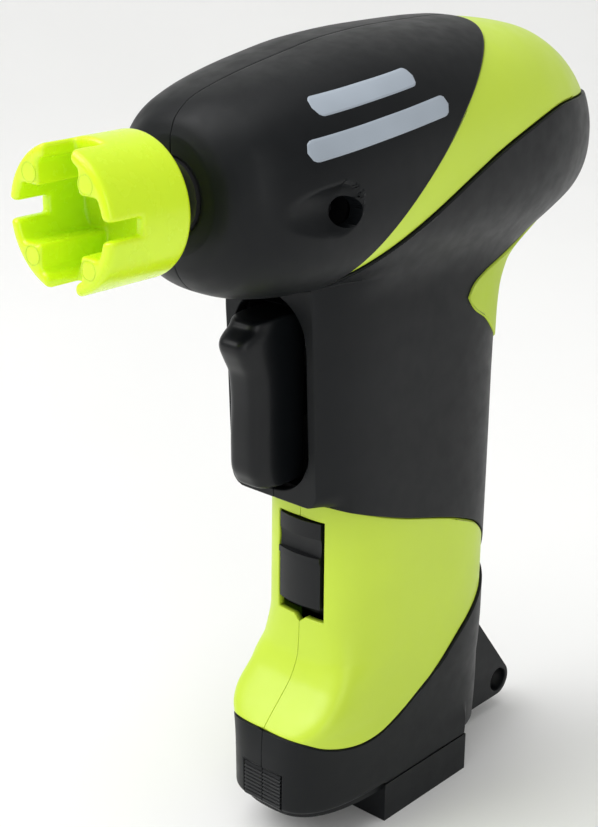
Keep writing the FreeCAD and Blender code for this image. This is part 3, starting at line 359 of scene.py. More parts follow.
def skin(grids, outward):
    """One open surface from neighbouring grids, facing the way outward says."""
    bm = bmesh.new()
    for grid in grids:
        add_grid(bm, grid)
    bmesh.ops.remove_doubles(bm, verts=bm.verts, dist=0.02 * MM)
    bmesh.ops.dissolve_degenerate(bm, dist=0.001 * MM, edges=bm.edges)
    bmesh.ops.recalc_face_normals(bm, faces=bm.faces)
    total = sum(face.normal.dot(Vector(outward(face.calc_center_median() / MM)))
                * face.calc_area() for face in bm.faces)
    if total < 0:
        bmesh.ops.reverse_faces(bm, faces=bm.faces)
    bm.normal_update()
    return bm


def at_tail(edge):
    """Whether an edge lies on the head's tail, which is too tight for a bevel."""
    return all(vert.co.y > TAIL_Y * MM and vert.co.z < TAIL_TOP * MM for vert in edge.verts)


def open_edges(bm):
    return [edge for edge in bm.edges if len(edge.link_faces) == 1]


def close_shell(bm, outer, rim, inner):
    """Adds the inner faces and the band that joins them to the outer ones."""
    for face in outer:
        bm.faces.new([inner[vert] for vert in reversed(face.verts)])
    for edge in rim:
        loop = edge.link_loops[0]
        a, b = loop.vert, loop.link_loop_next.vert
        bm.faces.new((b, a, inner[a], inner[b]))
    bm.normal_update()


def thicken(bm, depth):
    """Closes half of a shell to that depth, with its outer edges marked for a bevel."""
    weight = bm.edges.layers.float.new("bevel_weight_edge")
    outer, rim = list(bm.faces), open_edges(bm)
    for edge in bm.edges:
        if len(edge.link_faces) == 2 and edge.calc_face_angle(0) > math.radians(30):
            edge[weight] = 0.0 if at_tail(edge) else 1.0
    for edge in rim:
        on_split = all(vert.co.x < (SPLIT + 0.03) * MM for vert in edge.verts)
        edge[weight] = 0.0 if at_tail(edge) else 0.3 if on_split else 1.0
    inner = {}
    for vert in list(bm.verts):
        inner[vert] = bm.verts.new(vert.co - vert.normal * depth * MM)
        inner[vert].co.x = max(inner[vert].co.x, SPLIT * MM)
        inner[vert].co.y = min(inner[vert].co.y, (HEAD[-1][0] - depth) * MM)
    close_shell(bm, outer, rim, inner)


def thicken_whole(bm, depth):
    """Closes a surface that crosses the middle plane, or has no half."""
    weight = bm.edges.layers.float.new("bevel_weight_edge")
    outer, rim = list(bm.faces), open_edges(bm)
    inner = {vert: bm.verts.new(vert.co - vert.normal * depth * MM) for vert in list(bm.verts)}
    for edge in rim:
        edge[weight] = 1.0
    close_shell(bm, outer, rim, inner)


def piece_from(bm, name):
    """A smooth-shaded piece from a bmesh, which is freed."""
    mesh = bpy.data.meshes.new(name)
    bm.to_mesh(mesh)
    bm.free()
    mesh.shade_smooth()
    return linked(mesh, name)


def halves(bm, name, material, nodes):
    """The left piece and its mirror image, with rounded edges; nodes is the CAD pair."""
    for side, node in ((1, nodes[0]), (-1, nodes[-1])):
        copy = bm.copy()
        if side < 0:
            bmesh.ops.scale(copy, vec=(-1, 1, 1), verts=copy.verts)
            bmesh.ops.reverse_faces(copy, faces=copy.faces)
        piece = piece_from(copy, f"{name}_{'left' if side > 0 else 'right'}")
        rounded(piece, ROUND)
        finished(piece, HANDLE, material, [node] if side > 0 or len(nodes) > 1 else [])
    bm.free()


def rounded(piece, radius):
    """A bevel on the marked edges."""
    bevel = piece.modifiers.new("edges", "BEVEL")
    bevel.limit_method = "WEIGHT"
    bevel.width = radius * MM
    bevel.segments = 3
    bevel.use_clamp_overlap = False
    bevel.harden_normals = True


def from_field(name, field, low, high, step):
    """A closed mesh of where a field is negative, between two corners."""
    low, high = np.array(low, float), np.array(high, float)
    counts = np.ceil((high - low) / step).astype(int) + 1
    axes = [low[k] + step * np.arange(counts[k]) for k in range(3)]
    points = np.stack(np.meshgrid(*axes, indexing="ij"), -1)
    values = np.concatenate([field(slab) for slab in np.array_split(points, 16)])
    grid = openvdb.FloatGrid()
    grid.background = 5.0
    grid.copyFromArray(np.ascontiguousarray(values, np.float32))
    verts, quads = grid.convertToQuads(isovalue=0.0)
    verts = onto(field, verts * step + low, 3)
    mesh = bpy.data.meshes.new(name)
    mesh.from_pydata((verts * MM).tolist(), [], quads[:, ::-1].tolist())
    mesh.validate()
    mesh.shade_smooth()
    return mesh


# ---- fields for small rounded parts ----
def soft_max(a, b, radius):
    close = np.maximum(radius - np.abs(a - b), 0) / radius
    return np.maximum(a, b) + close ** 2 * radius / 4


def soft_min(a, b, radius):
    return -soft_max(-a, -b, radius)


def soft_all(parts, radius):
    """Where every part is negative, with rounded edges."""
    result = parts[0]
    for part in parts[1:]:
        result = soft_max(result, part, radius)
    return result


def block(p, low, high, radius):
    """A box with rounded edges; an axis with None has no walls."""
    parts = []
    for axis in range(3):
        if low[axis] is not None:
            parts.append(low[axis] - p[..., axis])
        if high[axis] is not None:
            parts.append(p[..., axis] - high[axis])
    return soft_all(parts, radius)


# ---- materials ----
def shader(name, colour, rough, specular=0.5, coat=0.0, soft=0.0, metal=0.0):
    """A Principled material with constants on its own sockets."""
    material = bpy.data.materials.new(name)
    material.use_nodes = True
    nodes = material.node_tree.nodes
    principled = nodes["Principled BSDF"]
    principled.inputs["Base Color"].default_value = (*colour, 1)
    principled.inputs["Roughness"].default_value = rough
    principled.inputs["Specular IOR Level"].default_value = specular
    principled.inputs["Coat Weight"].default_value = coat
    principled.inputs["Metallic"].default_value = metal
    principled.inputs["Subsurface Weight"].default_value = soft
    if soft:
        principled.inputs["Subsurface Radius"].default_value = (1.0, 1.0, 0.25)
        principled.inputs["Subsurface Scale"].default_value = 0.0025
    return material, principled


def noise(material, scale, detail=3.0, stretch=(1, 1, 1)):
    """A noise texture over the object, with scale in features per metre."""
    tree = material.node_tree
    place = tree.nodes.new("ShaderNodeTexCoord")
    mapping = tree.nodes.new("ShaderNodeMapping")
    mapping.inputs["Scale"].default_value = stretch
    texture = tree.nodes.new("ShaderNodeTexNoise")
    texture.inputs["Scale"].default_value = scale
    texture.inputs["Detail"].default_value = detail
    tree.links.new(place.outputs["Object"], mapping.inputs["Vector"])
    tree.links.new(mapping.outputs["Vector"], texture.inputs["Vector"])
    return texture.outputs["Fac"]


def ramp(material, value, low, high, socket, clamp=(0.3, 0.7)):
    """Maps a texture to a socket: between two numbers or two colours."""
    tree = material.node_tree
    if isinstance(low, tuple):
        node = tree.nodes.new("ShaderNodeValToRGB")
        node.color_ramp.elements[0].position, node.color_ramp.elements[1].position = clamp
        node.color_ramp.elements[0].color = (*low, 1)
        node.color_ramp.elements[1].color = (*high, 1)
        tree.links.new(value, node.inputs["Fac"])
        tree.links.new(node.outputs["Color"], socket)
        return
    node = tree.nodes.new("ShaderNodeMapRange")
    node.inputs["From Min"].default_value, node.inputs["From Max"].default_value = clamp
    node.inputs["To Min"].default_value, node.inputs["To Max"].default_value = low, high
    tree.links.new(value, node.inputs["Value"])
    tree.links.new(node.outputs["Result"], socket)


def bump(material, principled, layers):
    """Adds bump layers, each a texture and its depth in millimetres."""
    tree = material.node_tree
    normal = None
    for value, depth in layers:
        node = tree.nodes.new("ShaderNodeBump")
        node.inputs["Strength"].default_value = 1.0
        node.inputs["Distance"].default_value = depth * MM
        tree.links.new(value, node.inputs["Height"])
        if normal:
            tree.links.new(normal, node.inputs["Normal"])
        normal = node.outputs["Normal"]
    tree.links.new(normal, principled.inputs["Normal"])


def plastic(name, colour, rough, grain=0.0, grain_size=0.35, vary=0.06, **more):
    """Moulded plastic: slow tone changes, uneven gloss and a fine moulded grain."""
    material, principled = shader(name, colour, rough, **more)
    dark = tuple(c * (1 - vary) for c in colour)
    light = tuple(min(1.0, c * (1 + vary)) for c in colour)
    ramp(material, noise(material, 45.0, 2.0), dark, light, principled.inputs["Base Color"])
    ramp(material, noise(material, 260.0, 4.0), rough * 0.9, rough * 1.12,
         principled.inputs["Roughness"])
    bump(material, principled, [(noise(material, 1000 / grain_size, 2.0), grain),
                                (noise(material, 60.0, 1.0), 0.02)])
    return material


def metal(name, colour, rough, stretch=(1, 1, 1)):
    """Metal with fine drawing or turning lines."""
    material, principled = shader(name, colour, rough, metal=1.0)
    lines = noise(material, 900.0, 4.0, stretch)
    ramp(material, lines, tuple(c * 0.82 for c in colour), colour, principled.inputs["Base Color"])
    ramp(material, lines, rough * 0.75, rough * 1.3, principled.inputs["Roughness"])
    bump(material, principled, [(lines, 0.004)])
    return material


BLACK = plastic("black_shell", (0.0046, 0.0056, 0.0066), 0.43, 0.006, 0.30, 0.10, specular=0.20)
BLACK_TRIM = plastic("black_trim", (0.0046, 0.0055, 0.0065), 0.33, 0.004, 0.40, 0.10, specular=0.26)
BLACK_INNER = plastic("black_inner", (0.003, 0.003, 0.0035), 0.6, 0.006, 0.5, 0.1, specular=0.12)
LIME = plastic("lime_shell", (0.56, 0.74, 0.045), 0.38, 0.004, 0.35, 0.03, soft=0.12)
PAD = plastic("lime_pad", (0.50, 0.66, 0.055), 0.55, 0.012, 0.45, 0.04, soft=0.1, specular=0.35)
CUP = plastic("lime_cup", (0.68, 0.92, 0.012), 0.26, 0.002, 0.6, 0.02, soft=0.35, coat=0.1)
BUSH = plastic("bush", (0.02, 0.02, 0.022), 0.35, 0.003, 0.4, 0.1)
NATURAL = plastic("natural_plastic", (0.72, 0.70, 0.62), 0.4, 0.003, 0.5, 0.04, soft=0.1)
WRAP = plastic("cell_wrap", (0.03, 0.032, 0.04), 0.25, 0.001, 0.8, 0.15, coat=0.4)
LEAD = plastic("lead_wire", (0.45, 0.02, 0.015), 0.35, 0.002, 0.6, 0.08)
PRINT = plastic("print", (0.36, 0.41, 0.47), 0.45, 0.003, 0.25, 0.10)
STEEL = metal("steel", (0.60, 0.60, 0.62), 0.28, (1, 12, 1))
ZINC = metal("zinc", (0.66, 0.67, 0.70), 0.34)
BRASS = metal("brass", (0.72, 0.52, 0.22), 0.28, (1, 12, 1))
DARK_STEEL = metal("dark_steel", (0.10, 0.10, 0.11), 0.45)
COPPER = metal("copper", (0.70, 0.34, 0.18), 0.35, (12, 1, 1))

NODE_MATERIALS = {
    BLACK: ["battery_door"],
    BLACK_TRIM: ["latch_tab", "trigger", "direction_slider"],
    BLACK_INNER: ["trigger_guide", "trigger_switch", "reverse_switch", "switch_knob",
                  "battery_holder", "motor_end_cap", "motor_magnets"],
    BUSH: ["front_bush"],
    NATURAL: ["gearbox_front_plate", "gearbox_rear_plate", "output_gear", "motor_cradle",
              "second_cluster_gear", "first_cluster_gear"],
    WRAP: [f"battery_cell_{k}" for k in (1, 2, 3, 4)],
    LEAD: ["motor_leads"],
    STEEL: ["spindle", "gear_pins", "retaining_clip", "trigger_spring", "contact_springs"],
    ZINC: ["motor_can", "gearbox_screws", "door_contacts", "contact_plates"],
    DARK_STEEL: ["head_screws"],
    BRASS: ["motor_pinion"],
    COPPER: ["motor_rotor"],
}


def dress_nodes():
    """Gives the CAD nodes that stay their materials."""
    for material, names in NODE_MATERIALS.items():
        for name in names:
            node = frame["nodes"][name]
            node.data.materials.clear()
            node.data.materials.append(material)


def soften(name, cell, rounds):
    """Gives a CAD node the soft edges of a moulding."""
    node = frame["nodes"][name]
    cells = node.modifiers.new("cells", "REMESH")
    cells.mode, cells.voxel_size = "VOXEL", cell * MM
    cells.use_smooth_shade = True
    smooth = node.modifiers.new("soft", "SMOOTH")
    smooth.factor, smooth.iterations = 0.5, rounds


# ---- head ----
def screw_scoop(p):
    """Presses the finger-shaped scoop beside the side screw into the nose."""
    axis_x, end_y, axis_z = SCOOP_AT
    dy = np.maximum(p[..., 1] - end_y, 0)
    away = np.hypot(dy, p[..., 2] - axis_z)
    depth = axis_x - np.sqrt(np.maximum(SCOOP_R ** 2 - away ** 2, 0))
    depth = np.where(away < SCOOP_R, depth, axis_x + (away - SCOOP_R) * 3)
    on_side = p[..., 0] > 8
    p = p.copy()
    p[..., 0] = np.where(on_side, soft_min(p[..., 0], depth, 0.8), p[..., 0])
    return p


def nose():
    """Front two thirds of the head, from its flat face to the green band."""
    y_edge, angle_edge = head_line(shifted(CAP_FRONT, -SEAM / 2), 128)
    chin = np.linspace(angle_edge[-1], -math.pi / 2, 26)[1:]
    y_edge = np.concatenate([y_edge, np.full(len(chin), y_edge[-1] - 0.15)])
    angle = np.concatenate([angle_edge, chin])
    angle[0], angle[-1] = math.pi / 2, -math.pi / 2
    share = np.linspace(0, 1, 122)[:, None] ** 1.3
    y = HEAD[0][0] + (y_edge[None, :] - HEAD[0][0]) * share
    side = screw_scoop(head_point(y, np.broadcast_to(angle, y.shape)))
    radii = np.linspace(NOSE_BORE, HEAD[0][3], 5)[:, None]
    face = np.stack(np.broadcast_arrays(radii * np.cos(angle), HEAD[0][0],
                                        SPINDLE_Z + radii * np.sin(angle)), -1)
    bm = skin([split_off(side), split_off(face)], lambda c: (c[0], 0, c[2] - SPINDLE_Z))
    thicken(bm, WALL)
    halves(bm, "nose", BLACK, ["nose_shell_left", "nose_shell_right"])
    screw_hole("nose_left", 1)
    screw_hole("nose_right", -1)


def split_off(grid):
    """Moves what lies on the middle plane to the half's own edge."""
    grid = grid.copy()
    grid[..., 0] = np.maximum(grid[..., 0], SPLIT)
    return grid


def screw_hole(name, side):
    """Drills the screw hole through a nose piece and lines it with a moulded well."""
    bpy.ops.mesh.primitive_cylinder_add(
        vertices=64, radius=SCREW_MOUTH * MM, depth=20 * MM,
        location=(side * 26 * MM, SCREW_Y * MM, SCREW_Z * MM), rotation=(0, math.pi / 2, 0))
    drill = bpy.context.object
    piece = bpy.data.objects[name]
    hole = piece.modifiers.new("hole", "BOOLEAN")
    hole.object, hole.solver = drill, "MANIFOLD"
    mesh = evaluated(piece)
    piece.modifiers.clear()
    piece.data = mesh
    piece.data.normals_split_custom_set([(0, 0, 0)] * len(mesh.loops))
    piece.data.set_sharp_from_angle(angle=math.radians(38))
    bpy.data.objects.remove(drill)
    outside = WELL_R + WELL_WALL
    well = lathe(f"screw_well_{'left' if side > 0 else 'right'}",
                 [(WELL_R, WELL_TOP), (WELL_R, WELL_FLOOR), (PILOT_R, WELL_FLOOR - 0.1),
                  (PILOT_R, WELL_BOTTOM), (outside, WELL_BOTTOM), (outside, WELL_TOP - 0.4),
                  (WELL_R + 0.4, WELL_TOP)], 48)
    well.data.transform(Matrix.Translation((0, SCREW_Y * MM, SCREW_Z * MM))
                        @ Matrix.Rotation(side * math.pi / 2, 4, "Y"))
    finished(well, HANDLE, BLACK_INNER)


def evaluated(piece):
    """The piece's mesh with its modifiers applied."""
    bpy.context.view_layer.update()
    graph = bpy.context.evaluated_depsgraph_get()
    return bpy.data.meshes.new_from_object(piece.evaluated_get(graph))


def lathe(name, profile, count):
    """A closed ring turned about Z from (radius, height) pairs."""
    turns = np.linspace(0, 2 * math.pi, count + 1)
    loop = np.array(profile + profile[:1])
    grid = np.stack([loop[:, :1] * np.cos(turns), loop[:, :1] * np.sin(turns),
                     np.broadcast_to(loop[:, 1:], (len(loop), count + 1))], -1)
    bm = bmesh.new()
    add_grid(bm, grid)
    bmesh.ops.remove_doubles(bm, verts=bm.verts, dist=MERGED)
    bmesh.ops.recalc_face_normals(bm, faces=bm.faces)
    piece = piece_from(bm, name)
    piece.data.set_sharp_from_angle(angle=math.radians(35))
    return piece


def rear_cap():
    """Green band that wraps over the back of the head and runs down to a point."""
    count = 110
    y_front, a_front = head_line(shifted(CAP_FRONT, SEAM / 2), count)
    y_rear, a_rear = head_line(shifted(CAP_REAR, -SEAM / 2), count)
    share = np.linspace(0, 1, 56)[:, None]
    grid = head_point(mix(y_front, y_rear, share), mix(a_front, a_rear, share))
    grid = sunk(grid, head_field, LIME_STEP)
    bm = skin([split_off(grid)], lambda c: (c[0], 0, c[2] - SPINDLE_Z))
    thicken(bm, WALL - LIME_STEP)
    halves(bm, "rear_cap", LIME, ["rear_cap"])


def sunk(grid, field, depth):
    """A surface moved inwards."""
    slope = gradient(field, grid)
    slope /= np.linalg.norm(slope, axis=-1)[..., None]
    return grid - slope * depth


# ---- upper handle ----
def bezel_y(z):
    """The sloping flat face that frames the trigger."""
    return BEZEL_Y - BEZEL_LEAN * (z - BEZEL_Z)


def line_height(points, y, before, after):
    """Height of a side-view line at y, with fixed heights beyond its ends."""
    line = curve_of(points)(np.linspace(0, 1, 400))
    height = np.interp(y, line[:, 0], line[:, 1])
    height = np.where(y < line[0, 0], before, height)
    return np.where(y > line[-1, 0], after, height)


def around(share, z):
    """Upper handle surface: share 0 is its back, 1 the corner of the trigger's frame."""
    corner = handle_angle(GRIP_CURVES, z, bezel_y(z))
    return handle_point(GRIP_CURVES, z, share * corner)


def crease_height(share):
    """Where the handle's surface meets the head."""
    low, high = np.full(len(share), 130.0), np.full(len(share), 157.0)
    for _ in range(30):
        middle = (low + high) / 2
        outside = head_field(around(share, middle)) > 0
        low, high = np.where(outside, middle, low), np.where(outside, high, middle)
    return low


def saddle_rows(crease, y_top, a_top, rows):
    """Points on the head from the crease up to the green band, round the tail as well."""
    tail = HEAD[-1][0]
    small = 0.9             # the rings shrink to a point inside this radius
    y_low, a_low = crease[:, 1], head_angle(crease[:, 1], crease[:, 2])
    a_low[0] = -math.pi / 2
    r_low, r_top = np.sqrt(tail - y_low + small ** 2), np.sqrt(tail - y_top + small ** 2)
    share = np.linspace(0, 1, rows)[:, None]
    radius, angle = mix(r_low, r_top, share), mix(a_low, a_top, share)
    flat_u = mix(r_low * np.cos(a_low), r_top * np.cos(a_top), share)
    flat_v = mix(r_low * np.sin(a_low), r_top * np.sin(a_top), share)
    blend = smoothstep((np.linspace(0, 1, len(crease)) - 0.22) / 0.4)[None, :]
    u = mix(flat_u, radius * np.cos(angle), blend)
    v = mix(flat_v, radius * np.sin(angle), blend)
    radius, angle = np.hypot(u, v), np.arctan2(v, u)
    scale = np.minimum(radius / small, 1.0)
    y = tail - np.maximum(radius ** 2 - small ** 2, 0)
    return head_point(y, angle, scale)


def near_crease(grid):
    """Blends head and handle where they are close."""
    near = ((np.abs(distance(head_field, grid)) < NEAR_CREASE)
            & (np.abs(distance(grip_field, grid)) < NEAR_CREASE))
    grid = grid.copy()
    grid[near] = onto(body_field, grid[near])
    return grid


def upper_grip():
    """Black handle, its saddle under the green band and the flat frame of the trigger."""
    count = 112
    dense = np.linspace(0, 1, 500)
    creases = around(dense, crease_height(dense))
    share = np.interp(evenly(creases, count), np.arange(500), dense)
    share[0], share[-1] = 0, 1
    z_crease = crease_height(share)
    z_low = np.full(count, 80.0)
    for _ in range(12):
        z_low = line_height(shifted(PANEL_TOP, SEAM / 2), around(share, z_low)[:, 1],
                            before=BEZEL_BOTTOM, after=BACK_GRIP)
    z_low[-1] = BEZEL_BOTTOM
    rows = np.linspace(0, 1, 92)[:, None]
    z = mix(z_low, z_crease, rows)
    wall = around(np.broadcast_to(share, z.shape), z)
    y_top, a_top = head_line(shifted(CAP_REAR, SEAM / 2), count)
    saddle = saddle_rows(wall[-1], y_top, a_top, 44)
    saddle[0] = wall[-1]
    fade = smoothstep((np.linspace(0, 1, count) - 0.80) / 0.14)[None, :, None]
    wall, saddle = mix(near_crease(wall), wall, fade), mix(near_crease(saddle), saddle, fade)
    wall[..., 1] = np.maximum(wall[..., 1], bezel_y(wall[..., 2]))
    saddle[..., 1] = np.minimum(saddle[..., 1], HEAD[-1][0])
    wall = tucked(wall)
    corner = wall[:, -1]
    corner[:, 1] = bezel_y(corner[:, 2])
    face = bezel_face(corner)
    bm = skin([split_off(wall), split_off(saddle), split_off(face)], grip_outward)
    thicken(bm, WALL)
    sill(bm)
    halves(bm, "upper_grip", BLACK, ["grip_shell_left", "grip_shell_right"])


def tucked(p):
    """Rounds the lower corners of the trigger's frame."""
    drop = np.clip((BEZEL_BOTTOM + FRAME_ROUND - p[..., 2]) / FRAME_ROUND, 0, 1)
    near = smoothstep((bezel_y(p[..., 2]) + FRAME_SIDE - p[..., 1]) / 7)
    p = p.copy()
    p[..., 0] -= near * FRAME_ROUND * (1 - np.sqrt(1 - 0.96 * drop ** 2))
    return p


def grip_outward(c):
    """Roughly away from the inside of the head and handle."""
    if c[2] > 150:
        return c[0], 0, c[2] - SPINDLE_Z
    return c[0], (c[1] + 7) * 0.5, 0


def bezel_face(corner):
    """Flat face between the trigger's slot and the frame's outline."""
    low, high, steps = corner[0], corner[-1], 14
    across = np.linspace(0, 1, steps)
    bottom = np.stack([low[0] * across, low[2] + 0 * across], 1)
    chin_x = high[0] * across[::-1]
    mid, tall, half, n = (float(v) for v in head_ring(np.array(high[1])))
    chin_z = mid - tall * (1 - (chin_x / half) ** n) ** (1 / n) - 0.25
    chin_z += (high[2] - chin_z[0]) * across[::-1]
    top = np.stack([chin_x, chin_z], 1)
    outer = np.concatenate([bottom[:-1], corner[:, [0, 2]], top[1:]])
    turn = np.linspace(-math.pi / 2, 0, steps)
    arc = np.stack([SLOT_HALF * np.cos(turn), SLOT_LOW + SLOT_HALF + SLOT_HALF * np.sin(turn)], 1)
    upper = np.stack([arc[::-1, 0], SLOT_LOW + SLOT_HIGH - arc[::-1, 1]], 1)
    straight = np.linspace(arc[-1], upper[0], len(corner))
    inner = np.concatenate([arc[:-1], straight, upper[1:]])
    rows = np.array([0, 0.34, 0.66, 1])[:, None, None]
    flat = mix(inner, outer, rows)
    return np.stack([flat[..., 0], bezel_y(flat[..., 1]), flat[..., 1]], -1)


def sill(bm):
    """Closes the underside of the trigger's frame with a plate."""
    share = np.linspace(0.72, 1, 14)
    rim = tucked(around(share, np.full(14, BEZEL_BOTTOM)))
    rim = np.concatenate([rim, [[0, rim[-1][1], BEZEL_BOTTOM]]])
    rim[:, 0] = np.maximum(rim[:, 0] - SILL_GAP, SPLIT)
    rim[:, 1] = np.maximum(rim[:, 1], rim[-1][1] + SILL_GAP)
    back = np.stack([np.linspace(rim[0][0], SPLIT, len(rim)), np.full(len(rim), rim[0][1]),
                     np.full(len(rim), BEZEL_BOTTOM)], 1)
    lower = np.stack([back, mix(back, rim, 0.5), rim])
    upper = lower + np.array([0, 0, SILL])
    loop = np.concatenate([lower, upper[::-1], lower[:1]])
    ends = [np.stack([loop[:3, k], loop[5:2:-1, k]]) for k in (0, -1)]
    extra = bmesh.new()
    for grid in [loop] + ends:
        add_grid(extra, grid + np.array([0, 0, SEAM / 2]))
    bmesh.ops.remove_doubles(extra, verts=extra.verts, dist=MERGED)
    bmesh.ops.recalc_face_normals(extra, faces=extra.faces)
    join(bm, extra)


def join(bm, extra):
    """Adds one bmesh to another."""
    mesh = bpy.data.meshes.new("part")
    extra.to_mesh(mesh)
    extra.free()
    bm.from_mesh(mesh)
    bpy.data.meshes.remove(mesh)


def ridge_line(points, count):
    """A line on the back of the neck, from the middle plane to the pad's point."""
    line = curve_of(points[::-1])
    start = crossing(lambda s: float(body_field(np.array([0.0, *line(np.array(s))]))))
    share = start + (1 - start) * np.linspace(0, 1, count) ** 1.7
    y, z = line(share).T
    low, high = np.zeros(count), np.full(count, 30.0)
    for _ in range(34):
        middle = (low + high) / 2
        inside = body_field(np.stack([middle, y, z], 1)) < 0
        low, high = np.where(inside, middle, low), np.where(inside, high, middle)
    return np.stack([low, y, z], 1)


def neck_pad():
    """Soft green pad that the web of the thumb rests on, standing a little proud."""
    count = 64
    top, low = ridge_line(PAD_TOP, count), ridge_line(PAD_LOW, count)
    grid = mix(low, top, np.linspace(0, 1, 40)[:, None, None])
    grid = onto(body_field, grid, 8)
    grid[..., 0] = np.maximum(grid[..., 0], 0)
    bm = skin([sunk(grid, body_field, -PAD_PROUD)], lambda c: (c[0], 0.5, 0))
    bmesh.ops.triangulate(bm, faces=[f for f in bm.faces if len(f.verts) > 4])
    mirrored = bm.copy()
    bmesh.ops.scale(mirrored, vec=(-1, 1, 1), verts=mirrored.verts)
    bmesh.ops.reverse_faces(mirrored, faces=mirrored.faces)
    join(bm, mirrored)
    bmesh.ops.remove_doubles(bm, verts=bm.verts, dist=0.03 * MM)
    bm.normal_update()
    thicken_whole(bm, PAD_THICK)
    piece = piece_from(bm, "neck_pad_soft")
    rounded(piece, PAD_ROUND)
    finished(piece, HANDLE, PAD, ["neck_pad"])


# ---- lower handle ----
def low_wall(angle, z, inset):
    return handle_point(BASE_CURVES, z, angle, inset)


def line_on_wall(points, angle, inset, before, after):
    """Height at which a side-view line crosses each upright of the lower handle."""
    z = np.full(len(angle), 60.0)
    for _ in range(14):
        z = mix(z, line_height(points, low_wall(angle, z, inset)[:, 1], before, after), 0.8)
    return z


def angle_at_x(x, z, inset):
    """The front angle at which the lower handle is x wide."""
    _, _, half, n_front, _ = handle_ring(BASE_CURVES, z, inset)
    return math.pi - float(np.arcsin((x / half) ** (n_front / 2)))


def lower_grip():
    """Green lower handle with the window of the direction slider."""
    edge = angle_at_x(WINDOW_HALF, 70.0, LIME_STEP)
    start = float(handle_angle(BASE_CURVES, 57.5, 28.6, LIME_STEP))
    side, front = np.linspace(start, edge, 74), np.linspace(edge, math.pi, 12)
    grids = []
    for angle in (side, front):
        top = line_on_wall(shifted(PANEL_TOP, -SEAM / 2), angle, LIME_STEP,
                           before=BEZEL_BOTTOM - SEAM, after=BACK_PANEL_TOP)
        low = line_on_wall(shifted(PANEL_LOW, SEAM / 2), angle, LIME_STEP,
                           before=TOE_PANEL, after=BACK_PANEL_LOW)
        if angle is side:
            first = (WINDOW_LOW - low[-1]) / (top[-1] - low[-1])
            second = (WINDOW_HIGH - low[-1]) / (top[-1] - low[-1])
            z1, z2 = mix(low, top, first), mix(low, top, second)
        else:
            sill_x = low_wall(angle, np.full(len(angle), WINDOW_LOW), LIME_STEP)[:, 0]
            z1 = WINDOW_LOW - np.maximum(1.5 - sill_x, 0)
            z2 = np.full(len(angle), WINDOW_HIGH)
        bands = [(low, z1, 40), (z1, z2, 34), (z2, top, 9)]
        if angle is front:
            bands.pop(1)
        for lower, upper, count in bands:
            z = mix(lower, upper, np.linspace(0, 1, count)[:, None])
            step = mix(TOE_STEP, LIME_STEP, smoothstep((z - 33) / 12))
            grids.append(split_off(low_wall(np.broadcast_to(angle, z.shape), z, step)))
    bm = skin(grids, lambda c: (c[0], (c[1] + 1) * 0.5, 0))
    thicken(bm, WALL - LIME_STEP)
    halves(bm, "lower_grip", LIME, ["lower_grip_left", "lower_grip_right"])


def base():
    """Black base: latch's window, rounded lower edge, wall over the foot, lanyard lug."""
    edge = angle_at_x(LATCH_HALF, 18.0, 0)
    side, front = np.linspace(0, edge, 96), np.linspace(edge, math.pi, 12)
    grids = []
    for angle in (side, front):
        top = line_on_wall(shifted(PANEL_LOW, -SEAM / 2), angle, 0,
                           before=TOE_BASE, after=BACK_BASE)
        z = mix(np.full(len(angle), LATCH_HIGH), top, np.linspace(0, 1, 36)[:, None])
        grids.append(low_wall(np.broadcast_to(angle, z.shape), z, 0))
    turn = np.linspace(0, math.pi / 2, 7)
    insets = np.concatenate([[4.4, 3.0], BASE_FILLET * (1 - np.sin(turn)), np.zeros(8)])
    heights = np.concatenate([[BASE_Z, BASE_Z], BASE_Z + BASE_FILLET * (1 - np.cos(turn)),
                              np.linspace(BASE_Z + BASE_FILLET, LATCH_HIGH, 9)[1:]])
    on_foot = smoothstep((FOOT_HALF + 0.4 - np.abs(low_wall(side, BASE_Z, 0)[:, 1])) / 0.8)
    rings = np.stack([low_wall(side, np.full(len(side), z), inset * (1 - on_foot * (z > BASE_Z)))
                      for z, inset in zip(heights, insets)])
    flush = on_foot * smoothstep((LATCH_HIGH - 1 - rings[..., 2]) / 5)
    flush[:2] = 0
    rings[..., 0] += flush * np.maximum(FOOT_HALF + FOOT_COVER - rings[..., 0], 0)
    grids.append(rings)
    bm = skin([split_off(grid) for grid in grids], lambda c: (c[0], (c[1] + 7) * 0.5, 0))
    thicken(bm, WALL)
    lug(bm)
    halves(bm, "base", BLACK, ["base_shell_left", "base_shell_right"])


